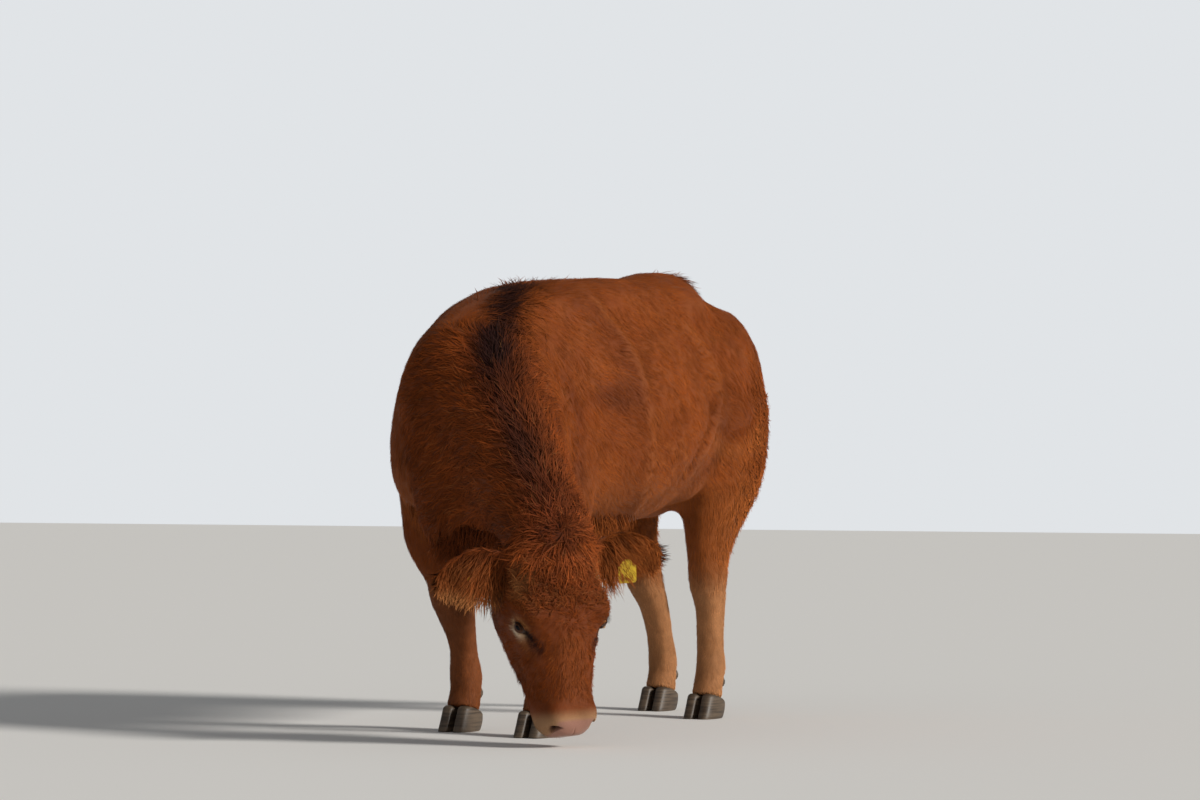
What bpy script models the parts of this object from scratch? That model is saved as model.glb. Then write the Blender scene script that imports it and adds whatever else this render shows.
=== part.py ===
"""A beef cow that grazes with its head low and turned to its left, as a still, life-size model.

Metres, +Z up. The cow faces -Y and its left side is +X. The flesh is built whole from
lofts and muscle masses, fused by a voxel remesh and smoothed, and then parted by thin
flat cuts where its parts are named. Claws, dewclaws, eyes and ear tags are solids of
their own. At the end everything moves so that the origin is the middle of the floor area.
"""

import math

import bmesh
import bpy
import numpy as np
from mathutils import Matrix, Vector

# Driving sizes
WITHERS = 1.315         # height of the back over the forelegs, head down
HIP_TOP = 1.395         # height of the sacrum
HEAD_LENGTH = 0.555     # poll to muzzle
GAP = 0.0003            # clear space left between neighbouring pieces
BARE_SKINNED = ("muzzle", "chin")

# How finely the flesh is made
VOXEL = 0.009
FLESH_TRIANGLES = 3850
HEAD_WEIGHT = 0.80       # the head is thinned this much as hard as the trunk
LEG_WEIGHT = 0.84        # and the lower legs this much
FINE_ROUNDS = 10         # smoothing everywhere
BROAD_ROUNDS = 130       # more of it on the trunk, neck and thighs

# The head: where the poll is, and which way the head is turned
POLL = Vector((0.486, -0.380, 0.588))
HEAD_YAW = math.radians(58)      # forehead turned from straight ahead towards the left side
HEAD_PITCH = math.radians(4)     # muzzle forward of the poll
HEAD_ROLL = math.radians(3)      # left side of the head up

COLOURS = {
    "coat": ((0.23, 0.065, 0.022), 0.62),
    "muzzle": ((0.42, 0.23, 0.17), 0.45),
    "horn": ((0.09, 0.065, 0.045), 0.40),
    "eye": ((0.02, 0.012, 0.01), 0.12),
    "tag": ((0.80, 0.55, 0.03), 0.40),
}


def clear_scene():
    for thing in list(bpy.data.objects):
        bpy.data.objects.remove(thing, do_unlink=True)


def make_material(name):
    colour, roughness = COLOURS[name]
    material = bpy.data.materials.new(name)
    material.use_nodes = True
    shader = material.node_tree.nodes["Principled BSDF"]
    shader.inputs["Base Color"].default_value = (*colour, 1)
    shader.inputs["Roughness"].default_value = roughness
    return material


def add_object(name, mesh, collection, material=None):
    thing = bpy.data.objects.new(name, mesh)
    collection.objects.link(thing)
    if material:
        mesh.materials.clear()
        mesh.materials.append(material)
    return thing


# Lofts ---------------------------------------------------------------------------------

def between(stations, count):
    """Stations read off at count even steps along a smooth cubic through them."""
    rows = np.array(stations, float)
    along = np.concatenate([[0], np.cumsum(np.linalg.norm(np.diff(rows[:, :3], axis=0), axis=1))])
    slope = np.gradient(rows, along, axis=0)
    at = np.linspace(0, along[-1], count)
    k = np.clip(np.searchsorted(along, at) - 1, 0, len(rows) - 2)
    h = (along[k + 1] - along[k])[:, None]
    t = (at[:, None] - along[k][:, None]) / h
    return (
        rows[k] * (2 * t**3 - 3 * t**2 + 1)
        + slope[k] * h * (t**3 - 2 * t**2 + t)
        + rows[k + 1] * (3 * t**2 - 2 * t**3)
        + slope[k + 1] * h * (t**3 - t**2)
    )


def loft(stations, normal, rings=36, sides=28, power=2.2):
    """A closed tube. A station is x, y, z, half-width, reach along normal, reach against it."""
    rows = between(stations, rings)
    centre = rows[:, :3]
    tangent = np.gradient(centre, axis=0)
    tangent /= np.linalg.norm(tangent, axis=1)[:, None]
    up = np.array(normal, float) - tangent * (tangent @ np.array(normal, float))[:, None]
    up /= np.linalg.norm(up, axis=1)[:, None]
    side = np.cross(tangent, up)
    made = bmesh.new()
    loops = []
    for c, u, s, row in zip(centre, up, side, rows):
        loop = []
        for k in range(sides):
            angle = 2 * math.pi * k / sides
            across, along = math.cos(angle), math.sin(angle)
            across = math.copysign(abs(across) ** (2 / power), across) * row[3]
            along = math.copysign(abs(along) ** (2 / power), along) * (row[4] if along > 0 else row[5])
            loop.append(made.verts.new(c + s * across + u * along))
        loops.append(loop)
    for first, second in zip(loops, loops[1:]):
        for k in range(sides):
            made.faces.new((first[k], first[k - 1], second[k - 1], second[k]))
    made.faces.new(loops[0])
    made.faces.new(loops[-1][::-1])
    bmesh.ops.recalc_face_normals(made, faces=made.faces)
    mesh = bpy.data.meshes.new("loft")
    made.to_mesh(mesh)
    made.free()
    return mesh


def mass(centre, radii, turn=(0, 0, 0), frame=Matrix.Identity(4)):
    """An ellipsoid of flesh or bone under the skin. turn is in degrees about X, Y and Z."""
    made = bmesh.new()
    bmesh.ops.create_uvsphere(made, u_segments=28, v_segments=18, radius=1)
    rotate = Matrix.Identity(4)
    for angle, axis in zip(turn, "XYZ"):
        rotate = Matrix.Rotation(math.radians(angle), 4, axis) @ rotate
    made.transform(frame @ Matrix.Translation(centre) @ rotate @ Matrix.Diagonal((*radii, 1)))
    mesh = bpy.data.meshes.new("mass")
    made.to_mesh(mesh)
    made.free()
    return mesh


def joined(meshes):
    made = bmesh.new()
    for mesh in meshes:
        made.from_mesh(mesh)
    mesh = bpy.data.meshes.new("joined")
    made.to_mesh(mesh)
    made.free()
    return mesh


def evaluated(thing):
    graph = bpy.context.evaluated_depsgraph_get()
    return bpy.data.meshes.new_from_object(thing.evaluated_get(graph))


# Trunk and neck --------------------------------------------------------------------------

def trunk_pieces():
    # y, height of the widest line, half-width, up to the back, down to the belly
    sections = [
        (-0.25, 0.84, 0.10, 0.14, 0.14),
        (-0.20, 0.85, 0.17, 0.24, 0.24),
        (-0.11, 0.87, 0.225, 0.34, 0.29),
        (0.00, 0.88, 0.255, 0.405, 0.305),
        (0.12, 0.88, 0.272, WITHERS - 0.88, 0.305),
        (0.26, 0.88, 0.300, WITHERS - 0.88 + 0.005, 0.305),
        (0.42, 0.88, 0.335, WITHERS - 0.88 + 0.02, 0.305),
        (0.62, 0.88, 0.352, WITHERS - 0.88 + 0.04, 0.295),
        (0.80, 0.91, 0.345, HIP_TOP - 0.91 - 0.015, 0.275),
        (0.95, 0.97, 0.320, HIP_TOP - 0.97, 0.27),
        (1.10, 1.04, 0.285, HIP_TOP - 1.04, 0.25),
        (1.22, 1.09, 0.225, HIP_TOP - 1.09 - 0.03, 0.22),
        (1.30, 1.12, 0.13, 0.20, 0.16),
    ]
    rows = [(0, y, z, half, up, down) for y, z, half, up, down in sections]
    pieces = [loft(rows, (0, 0, 1), rings=48, sides=40, power=2.2)]
    for side in (1, -1):
        pieces += [
            mass((side * 0.070, 0.12, 1.14), (0.080, 0.17, 0.155), (-20, side * -14, 0)),
            mass((side * 0.180, 0.03, 1.00), (0.088, 0.17, 0.26), (-22, side * -14, 0)),
            mass((side * 0.190, 0.10, 0.82), (0.098, 0.21, 0.24)),
            mass((side * 0.165, -0.08, 0.79), (0.095, 0.105, 0.15)),
            mass((side * 0.115, 0.55, 1.265), (0.135, 0.50, 0.085), (2, side * 14, 0)),
            mass((side * 0.175, 0.88, 1.255), (0.100, 0.15, 0.090)),
            mass((side * 0.105, 1.24, 1.195), (0.070, 0.10, 0.090)),
            mass((side * 0.200, 0.91, 0.77), (0.080, 0.16, 0.085), (38, 0, 0)),
        ]
    pieces += [
        mass((0, 1.06, 1.310), (0.12, 0.24, 0.085)),
        mass((0.01, -0.15, 0.695), (0.135, 0.165, 0.185), (20, 0, 0)),
        mass((0, 0.98, 0.69), (0.12, 0.13, 0.085)),
    ]
    return pieces


def neck_pieces():
    # x, y, z, half-width, up to the crest, down to the throat
    stations = [
        (0.000, 0.12, 1.00, 0.215, 0.290, 0.30),
        (0.025, 0.01, 0.965, 0.210, 0.275, 0.29),
        (0.075, -0.075, 0.91, 0.200, 0.245, 0.26),
        (0.155, -0.155, 0.84, 0.180, 0.210, 0.205),
        (0.240, -0.218, 0.757, 0.160, 0.180, 0.160),
        (0.318, -0.270, 0.670, 0.142, 0.152, 0.130),
        (0.376, -0.305, 0.608, 0.128, 0.135, 0.108),
        (0.425, -0.338, 0.542, 0.110, 0.115, 0.085),
    ]
    crest = (0.45, -0.50, 0.70)
    fold = [
        (0.00, -0.24, 0.70, 0.045, 0.10, 0.085),
        (0.06, -0.255, 0.665, 0.036, 0.10, 0.065),
        (0.13, -0.270, 0.635, 0.030, 0.09, 0.045),
        (0.20, -0.285, 0.610, 0.026, 0.08, 0.030),
    ]
    return [loft(stations, crest, rings=32, sides=32), loft(fold, (0, -0.2, 1), rings=16, sides=16)]


# Head ------------------------------------------------------------------------------------

def head_frame():
    """Head space: +X the head's left, +Y out of the forehead, -Z towards the muzzle."""
    turn = Matrix.Rotation(HEAD_YAW, 4, "Z")
    pitch = Matrix.Rotation(HEAD_PITCH, 4, "X")
    roll = Matrix.Rotation(HEAD_ROLL, 4, "Y")
    facing = Matrix.Rotation(math.pi, 4, "Z") @ Matrix.Diagonal((-1, 1, 1, 1))
    return Matrix.Translation(POLL) @ turn @ pitch.inverted() @ roll.inverted() @ facing


def head_pieces(frame):
    size = HEAD_LENGTH
    # along the face from the poll: share of head length, depth of the middle line behind
    # the forehead, half-width, reach forward, reach back
    skull = [
        (-0.03, 0.110, 0.068, 0.065, 0.070),
        (0.05, 0.122, 0.114, 0.106, 0.105),
        (0.18, 0.128, 0.133, 0.127, 0.134),
        (0.30, 0.132, 0.142, 0.135, 0.152),
        (0.40, 0.132, 0.142, 0.135, 0.156),
        (0.52, 0.130, 0.129, 0.128, 0.150),
        (0.66, 0.121, 0.107, 0.110, 0.120),
        (0.80, 0.110, 0.090, 0.091, 0.090),
        (0.89, 0.104, 0.085, 0.084, 0.076),
        (0.96, 0.100, 0.074, 0.070, 0.062),
        (1.00, 0.099, 0.050, 0.050, 0.044),
    ]
    rows = [(0, -deep, -share * size, half, front, back) for share, deep, half, front, back in skull]
    pieces = [loft(rows, (0, 1, 0), rings=40, sides=32, power=2.3)]
    for side in (1, -1):
        pieces += [
            mass((side * 0.082, -0.212, -0.34 * size), (0.046, 0.088, 0.120), (12, 0, 0)),
            mass((side * 0.095, -0.060, -0.365 * size), (0.054, 0.058, 0.062), (0, side * 20, 0)),
            mass((side * 0.043, -0.066, -0.880 * size), (0.043, 0.052, 0.050)),
            mass((side * 0.096, -0.105, -0.080 * size), (0.052, 0.060, 0.055)),
        ]
    pieces.append(mass((0, -0.075, 0.000 * size), (0.105, 0.080, 0.060)))
    return [transformed(mesh, frame) for mesh in pieces]


def transformed(mesh, matrix):
    made = bmesh.new()
    made.from_mesh(mesh)
    made.transform(matrix)
    if matrix.determinant() < 0:
        bmesh.ops.reverse_faces(made, faces=made.faces)
    made.to_mesh(mesh)
    made.free()
    return mesh


# Legs ------------------------------------------------------------------------------------

def share_down(height, top, bottom):
    return min(1, max(0, (top - height) / (top - bottom)))


def fore_leg(side, elbow_y, foot_x, foot_y):
    """The leg from the upper arm to the coronet, leaning from the elbow to the foot."""
    def at(height, x_out, y_off, half, front, back):
        share = share_down(height, 0.74, 0.12)
        x = x_out + (foot_x - 0.17) * share
        y = elbow_y + (foot_y - elbow_y) * share + y_off
        return (side * x, y, height, half, front, back)

    stations = [
        at(0.90, 0.190, -0.04, 0.088, 0.12, 0.17),
        at(0.78, 0.205, 0.00, 0.094, 0.115, 0.165),
        at(0.70, 0.214, 0.01, 0.097, 0.105, 0.150),
        at(0.61, 0.220, 0.00, 0.088, 0.092, 0.115),
        at(0.52, 0.204, 0.00, 0.076, 0.074, 0.080),
        at(0.46, 0.184, 0.00, 0.065, 0.062, 0.063),
        at(0.405, 0.174, -0.004, 0.068, 0.066, 0.058),
        at(0.35, 0.168, 0.00, 0.061, 0.054, 0.054),
        at(0.29, 0.166, 0.006, 0.050, 0.042, 0.048),
        at(0.21, 0.168, 0.010, 0.046, 0.040, 0.047),
        at(0.155, 0.171, 0.010, 0.053, 0.046, 0.056),
        at(0.115, 0.170, 0.000, 0.049, 0.045, 0.049),
        at(0.085, 0.170, -0.010, 0.051, 0.049, 0.048),
        at(0.030, 0.170, -0.022, 0.054, 0.053, 0.052),
    ]
    return [loft(stations, (0, -1, 0), rings=44, sides=24)]


def hind_leg(side, step, foot_x):
    """The leg from the thigh to the coronet. step moves the foot back, the hock by its share."""
    def at(height, x_out, y, half, front, back):
        return (side * x_out, y + step * share_down(height, 1.05, 0.12), height, half, front, back)

    stations = [
        at(1.24, 0.130, 1.07, 0.100, 0.16, 0.19),
        at(1.12, 0.165, 1.09, 0.140, 0.23, 0.230),
        at(0.97, 0.182, 1.110, 0.150, 0.25, 0.240),
        at(0.84, 0.186, 1.115, 0.142, 0.21, 0.230),
        at(0.73, 0.188, 1.105, 0.120, 0.150, 0.205),
        at(0.64, 0.186, 1.085, 0.090, 0.108, 0.178),
        at(0.56, 0.178, 1.080, 0.072, 0.086, 0.146),
        at(0.50, 0.172, 1.085, 0.060, 0.073, 0.118),
        at(0.455, 0.169, 1.095, 0.060, 0.067, 0.098),
        at(0.41, 0.166, 1.105, 0.058, 0.060, 0.070),
        at(0.35, foot_x + 0.000, 1.115, 0.050, 0.048, 0.054),
        at(0.28, foot_x - 0.003, 1.120, 0.046, 0.043, 0.049),
        at(0.20, foot_x - 0.002, 1.120, 0.046, 0.042, 0.049),
        at(0.155, foot_x, 1.118, 0.049, 0.046, 0.056),
        at(0.115, foot_x, 1.106, 0.047, 0.046, 0.050),
        at(0.085, foot_x, 1.096, 0.049, 0.049, 0.048),
        at(0.030, foot_x, 1.084, 0.052, 0.053, 0.052),
    ]
    return [loft(stations, (0, -1, 0), rings=56, sides=24)]


FORE_LEFT = dict(side=1, elbow_y=0.06, foot_x=0.160, foot_y=0.060)
FORE_RIGHT = dict(side=-1, elbow_y=0.035, foot_x=0.172, foot_y=0.195)
HIND_LEFT = dict(side=1, step=0.00, foot_x=0.170)
HIND_RIGHT = dict(side=-1, step=0.31, foot_x=0.155)


def flesh(collection):
    """All the soft body as one smooth closed surface."""
    pieces = trunk_pieces() + neck_pieces() + head_pieces(head_frame())
    for stance in (FORE_LEFT, FORE_RIGHT):
        pieces += fore_leg(**stance)
    for stance in (HIND_LEFT, HIND_RIGHT):
        pieces += hind_leg(**stance)
    thing = add_object("flesh", joined(pieces), collection)
    fuse = thing.modifiers.new("fuse", "REMESH")
    fuse.mode = "VOXEL"
    fuse.voxel_size = VOXEL
    mesh = evaluated(thing)
    bpy.data.objects.remove(thing)

    thing = add_object("flesh", mesh, collection)
    spots = np.empty(len(mesh.vertices) * 3)
    mesh.vertices.foreach_get("co", spots)
    spots = spots.reshape(-1, 3)
    from_head = np.linalg.norm(spots - np.array(POLL - Vector((0.05, 0, 0.33))), axis=1)
    broad = np.clip((spots[:, 2] - 0.54) / 0.12, 0, 1) * np.clip((from_head - 0.28) / 0.12, 0, 1)
    group = thing.vertex_groups.new(name="broad")
    for level in range(1, 11):
        chosen = np.nonzero(np.round(broad * 10) == level)[0]
        if len(chosen):
            group.add(chosen.tolist(), level / 10, "REPLACE")
    for label, rounds, limit in (("broad", BROAD_ROUNDS, "broad"), ("fine", FINE_ROUNDS, "")):
        soften = thing.modifiers.new(label, "SMOOTH")
        soften.factor = 0.5
        soften.iterations = rounds
        soften.vertex_group = limit
    mesh = evaluated(thing)
    bpy.data.objects.remove(thing)
    return mesh


# Ears, tail, eyes, claws and tags ----------------------------------------------------------

EAR_LENGTH = 0.240
EAR_BASE = (0.100, -0.115, -0.055)      # in head space, on the left
LOWER_RIM = 1.18                        # the fringe makes the lower half deeper
EAR_CUT = 0.21                          # share of the length where the ear leaves the head
STUD = (0.56 * EAR_LENGTH, -0.028)      # where a tag's stud goes through the ear
STUD_RADIUS = 0.0045
EYE_RADIUS = 0.0205
EYE_SPOT = (0.1250, -0.0700, -0.432 * HEAD_LENGTH)     # in head space, on the left
CLEFT = 0.0025                          # half the space between the two claws of a foot
CLAW_HALF = 0.0245
CORONET = 0.064                         # height of the claws' upper faces at the foot's middle
CORONET_SLOPE = 0.27                    # how they fall towards the heel
DEWCLAW_APART = 0.027                   # from the foot's middle line
DEWCLAW_BACK = 0.046
DEWCLAW_HEIGHT = 0.112
DEWCLAW_RADII = (0.0125, 0.0150, 0.0190)
DEWCLAW_SIDES, DEWCLAW_RINGS = 7, 4
TAIL_CUT = (Vector((0, 1.342, 1.225)), Vector((0, 0.47, -0.88)))
SWITCH_CUT = (Vector((0.004, 1.380, 0.640)), Vector((0, 0, -1)))


def ear_frame(side):
    """Ear space: +X to the tip, +Y out of the hollow, +Z up across the leaf."""
    swing, lift = (0.36, 0.03) if side > 0 else (-0.20, -0.10)
    tip = Vector((side * 0.93, swing, lift)).normalized()
    hollow = Vector((side * 0.10, 0.90, -0.40))
    hollow = (hollow - tip * hollow.dot(tip)).normalized()
    across = tip.cross(hollow) * (1 if tip.cross(hollow).z > 0 else -1)
    turn = Matrix((tip, hollow, across)).transposed().to_4x4()
    x, y, z = EAR_BASE
    return head_frame() @ Matrix.Translation((side * x, y, z)) @ turn


def skin_over(loops):
    """A closed mesh over rings of points, every ring with the same count."""
    made = bmesh.new()
    rings = [[made.verts.new(point) for point in loop] for loop in loops]
    for first, second in zip(rings, rings[1:]):
        for k in range(len(first)):
            made.faces.new((first[k], first[k - 1], second[k - 1], second[k]))
    made.faces.new(rings[0])
    made.faces.new(rings[-1][::-1])
    bmesh.ops.recalc_face_normals(made, faces=made.faces)
    mesh = bpy.data.meshes.new("rings")
    made.to_mesh(mesh)
    made.free()
    return mesh


def ear(side):
    """A leaf with a hollow front, thick at its root and thin at the rim."""
    # share of the length, half-height, thickness, depth of the hollow
    stations = [
        (-0.22, 0.030, 0.040, 0.000),
        (0.05, 0.034, 0.042, 0.004),
        (0.21, 0.048, 0.034, 0.014),
        (0.38, 0.066, 0.027, 0.024),
        (0.56, 0.073, 0.023, 0.026),
        (0.75, 0.064, 0.019, 0.020),
        (0.90, 0.043, 0.015, 0.010),
        (1.00, 0.018, 0.010, 0.000),
    ]
    count = 6
    loops = []
    for share, half, thick, hollow in stations:
        loop = []
        for face in (1, -1):
            for k in range(count):
                across = math.cos(math.pi * (k + 0.5) / count) * face
                rim = math.sqrt(1 - across * across)
                y = -hollow * (1 - across * across) + face * thick / 2 * rim ** 0.7
                z = across * half * (LOWER_RIM if across < 0 else 1)
                loop.append((share * EAR_LENGTH, y, z - 0.02 * max(0, share) ** 2))
        loops.append(loop)
    return transformed(skin_over(loops), ear_frame(side))


def ear_tag(side):
    """A plate on one face of the ear and a button on the other, joined by a stud through it."""
    face = 1 if side > 0 else -1
    stud_x, stud_z = STUD
    plate_y = 0.010 if side > 0 else -0.047
    button_y = -0.045 if side > 0 else -0.002
    width, height, thick = 0.052, 0.066, 0.0024
    outline = [
        (0.16, 0.10), (0.30, -0.04), (0.50, -0.22), (0.50, -0.92), (0.42, -1.0),
        (-0.42, -1.0), (-0.50, -0.92), (-0.50, -0.22), (-0.30, -0.04), (-0.16, 0.10),
    ]
    plate = skin_over([
        [(stud_x + u * width, plate_y + y, stud_z + v * height) for u, v in outline]
        for y in (-thick / 2, thick / 2)
    ])
    stud = tube((stud_x, plate_y, stud_z), (stud_x, button_y, stud_z), STUD_RADIUS, 10)
    button = tube((stud_x, button_y, stud_z), (stud_x, button_y - face * 0.0026, stud_z), 0.012, 14)
    return [transformed(mesh, ear_frame(side)) for mesh in (plate, stud, button)]


def ear_hole(side):
    stud_x, stud_z = STUD
    hole = tube((stud_x, -0.060, stud_z), (stud_x, 0.020, stud_z), STUD_RADIUS + GAP, 10)
    return transformed(hole, ear_frame(side))


def tube(start, end, radius, sides):
    start, end = Vector(start), Vector(end)
    turn = (end - start).to_track_quat("Z", "Y").to_matrix().to_4x4()
    made = bmesh.new()
    bmesh.ops.create_cone(
        made, cap_ends=True, segments=sides, radius1=radius, radius2=radius, depth=(end - start).length
    )
    made.transform(Matrix.Translation((start + end) / 2) @ turn)
    mesh = bpy.data.meshes.new("tube")
    made.to_mesh(mesh)
    made.free()
    return mesh


def tail():
    # x, y, z, half-width, reach back, reach forward
    stations = [
        (0.000, 1.160, 1.325, 0.046, 0.036, 0.040),
        (0.000, 1.240, 1.322, 0.043, 0.036, 0.038),
        (0.000, 1.305, 1.285, 0.037, 0.034, 0.034),
        (0.000, 1.352, 1.200, 0.031, 0.030, 0.030),
        (0.000, 1.380, 1.080, 0.026, 0.025, 0.025),
        (0.001, 1.392, 0.940, 0.023, 0.022, 0.022),
        (0.002, 1.390, 0.800, 0.021, 0.020, 0.020),
        (0.003, 1.382, 0.690, 0.023, 0.021, 0.021),
        (0.004, 1.378, 0.600, 0.036, 0.032, 0.032),
        (0.005, 1.376, 0.500, 0.043, 0.038, 0.038),
        (0.004, 1.376, 0.420, 0.034, 0.030, 0.030),
        (0.002, 1.378, 0.360, 0.014, 0.013, 0.013),
    ]
    return loft(stations, (0, 1, 0.3), rings=20, sides=8, power=2)


def ball(centre, radii, sides=12, rings=8):
    made = bmesh.new()
    bmesh.ops.create_uvsphere(made, u_segments=sides, v_segments=rings, radius=1)
    made.transform(Matrix.Translation(centre) @ Matrix.Diagonal((*radii, 1)))
    mesh = bpy.data.meshes.new("ball")
    made.to_mesh(mesh)
    made.free()
    return mesh


def feet():
    """The middle of every foot at the coronet, by name."""
    return {
        "fore_left": (FORE_LEFT["foot_x"], FORE_LEFT["foot_y"] - 0.014),
        "fore_right": (-FORE_RIGHT["foot_x"], FORE_RIGHT["foot_y"] - 0.014),
        "hind_left": (HIND_LEFT["foot_x"], 1.091 + HIND_LEFT["step"]),
        "hind_right": (-HIND_RIGHT["foot_x"], 1.091 + HIND_RIGHT["step"]),
    }


def claw(foot_x, foot_y, side):
    """One claw: flat sole on the floor, a sloping front wall and a flat face under the leg."""
    # height share, toe ahead of the middle, heel behind it, share of the half-width
    levels = [(0.0, 0.088, 0.042, 0.94), (0.35, 0.076, 0.055, 1.05), (1.0, 0.050, 0.050, 1.0)]
    loops = []
    for level, toe, heel, wide in levels:
        loop = []
        for k in range(14):
            angle = 2 * math.pi * (k + 0.5) / 14
            inner = math.cos(angle) * side < 0
            across = math.copysign(abs(math.cos(angle)) ** (0.4 if inner else 0.9), math.cos(angle))
            along = math.copysign(abs(math.sin(angle)) ** 0.85, math.sin(angle))
            x = foot_x + side * (CLEFT + CLAW_HALF) + across * CLAW_HALF * (1.0 if inner else wide)
            y = foot_y + along * (heel if along > 0 else toe)
            top = CORONET - CORONET_SLOPE * (y - foot_y)
            loop.append((x, y, top * level))
        loops.append(loop)
    return skin_over(loops)


def dewclaws(foot_x, foot_y):
    """The middle and the radii of the two small claws behind a foot."""
    return [
        ((foot_x + side * DEWCLAW_APART, foot_y + DEWCLAW_BACK, DEWCLAW_HEIGHT), DEWCLAW_RADII)
        for side in (1, -1)
    ]


def under_coronet(foot_x, foot_y):
    """The space under a leg that its claws take up."""
    reach = 0.11
    loop = [(foot_x - reach, foot_y - reach), (foot_x + reach, foot_y - reach),
            (foot_x + reach, foot_y + reach), (foot_x - reach, foot_y + reach)]
    lower = [(x, y, -0.05) for x, y in loop]
    upper = [(x, y, CORONET - CORONET_SLOPE * (y - foot_y) + GAP) for x, y in loop]
    return skin_over([lower, upper])


# Parting ---------------------------------------------------------------------------------

def slab(centre, normal, half_u, half_v, along=(1, 0, 0)):
    """A thin cutter: GAP thick along normal, half_u each way along `along`, half_v across it."""
    z = Vector(normal).normalized()
    x = Vector(along)
    x = (x - z * x.dot(z)).normalized()
    turn = Matrix((x, z.cross(x), z)).transposed().to_4x4()
    made = bmesh.new()
    bmesh.ops.create_cube(made, size=2)
    made.transform(
        Matrix.Translation(centre) @ turn @ Matrix.Diagonal((half_u, half_v, GAP / 2, 1))
    )
    mesh = bpy.data.meshes.new("slab")
    made.to_mesh(mesh)
    made.free()
    return mesh


def head_slab(spot, normal, half_u, half_v):
    frame = head_frame()
    turn = frame.to_3x3()
    return slab(frame @ Vector(spot), turn @ Vector(normal), half_u, half_v, turn @ Vector((1, 0, 0)))


def body_cuts():
    """The thin cuts that part the body's flesh."""
    cuts = [
        slab((0.05, -0.165, 0.965), (0.30, -0.95, 0), 0.45, 0.485),
        head_slab((0, -0.175, -0.05), (0, -0.80, 0.60), 0.150, 0.235),
        slab(*TAIL_CUT, 0.042, 0.036),
        slab(*SWITCH_CUT, 0.06, 0.05),
    ]
    for side in (1, -1):
        frame = ear_frame(side)
        turn = frame.to_3x3()
        cuts.append(slab(
            frame @ Vector((EAR_CUT * EAR_LENGTH, -0.008, 0)), turn @ Vector((1, 0, 0)),
            0.040, 0.060, turn @ Vector((0, 1, 0)),
        ))
    for stance in (FORE_LEFT, FORE_RIGHT):
        side = stance["side"]
        elbow_y, foot_x, foot_y = stance["elbow_y"], stance["foot_x"], stance["foot_y"]
        cuts += [
            slab((side * 0.225, elbow_y + 0.015, 0.625), (side * -0.58, 0, 0.81), 0.155, 0.16),
            slab((side * 0.195, elbow_y * 0.52 + foot_y * 0.48, 0.452), (0, 0, 1), 0.09, 0.09),
            slab((side * foot_x, foot_y + 0.01, 0.165), (0, 0, 1), 0.09, 0.09),
        ]
    for stance in (HIND_LEFT, HIND_RIGHT):
        side, step = stance["side"], stance["step"]
        cuts += [
            slab((side * 0.205, 1.10 + step * 0.35, 0.725), (side * -0.50, -0.28, 0.82), 0.185, 0.31),
            slab((side * 0.172, 1.10 + step * 0.66, 0.435), (0, 0, 1), 0.09, 0.14),
            slab((side * stance["foot_x"], 1.12 + step, 0.165), (0, 0, 1), 0.09, 0.09),
        ]
    return cuts


def head_cuts():
    """The mouth line carried back to the throat, and the edge of the muzzle."""
    return [
        head_slab((0, -0.170, -0.62 * HEAD_LENGTH), (0, -0.93, -0.20), 0.20, 0.40),
        head_slab((0, -0.100, -0.80 * HEAD_LENGTH), (0, 0, 1), 0.20, 0.20),
    ]


def boolean(thing, operation, mesh, collection):
    """An exact boolean of thing's mesh with another mesh, made good on thing."""
    cutter = add_object("cutter", mesh, collection)
    change = thing.modifiers.new("change", "BOOLEAN")
    change.operation = operation
    change.solver = "EXACT"
    change.object = cutter
    result = evaluated(thing)
    thing.modifiers.clear()
    thing.data = result
    bpy.data.objects.remove(cutter)


def thinned(thing):
    """Far fewer triangles, more of them kept on the head and the lower legs than on the trunk."""
    mesh = thing.data
    spots = np.empty(len(mesh.vertices) * 3)
    mesh.vertices.foreach_get("co", spots)
    spots = spots.reshape(-1, 3)
    from_head = np.linalg.norm(spots - np.array(POLL - Vector((0.05, 0, 0.25))), axis=1)
    near_head = from_head < 0.36
    low = (spots[:, 2] < 0.5) & ~near_head
    group = thing.vertex_groups.new(name="plain")
    for chosen, weight in ((near_head, HEAD_WEIGHT), (low, LEG_WEIGHT), (~near_head & ~low, 1.0)):
        group.add(np.nonzero(chosen)[0].tolist(), weight, "REPLACE")
    thin = thing.modifiers.new("thin", "DECIMATE")
    thin.ratio = FLESH_TRIANGLES / (2 * len(mesh.polygons))
    thin.use_collapse_triangulate = True
    thin.vertex_group = "plain"
    mesh = evaluated(thing)
    thing.modifiers.clear()
    thing.vertex_groups.clear()
    thing.data = mesh


def islands(mesh):
    """The separate closed bodies of a mesh, each as its own mesh."""
    whole = bmesh.new()
    whole.from_mesh(mesh)
    left = set(whole.verts)
    pieces = []
    whole.verts.index_update()
    order = sorted(left, key=lambda v: v.index)
    seen = set()
    for start in order:
        if start in seen:
            continue
        body, edge = {start}, [start]
        while edge:
            for link in edge.pop().link_edges:
                for v in link.verts:
                    if v not in body:
                        body.add(v)
                        edge.append(v)
        seen |= body
        part = whole.copy()
        part.verts.ensure_lookup_table()
        keep = {v.index for v in body}
        bmesh.ops.delete(part, geom=[v for v in part.verts if v.index not in keep], context="VERTS")
        piece = bpy.data.meshes.new("piece")
        part.to_mesh(piece)
        part.free()
        pieces.append(piece)
    whole.free()
    return pieces


def middle(mesh):
    spots = np.empty(len(mesh.vertices) * 3)
    mesh.vertices.foreach_get("co", spots)
    spots = spots.reshape(-1, 3)
    return Vector((spots.min(axis=0) + spots.max(axis=0)) / 2)


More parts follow.
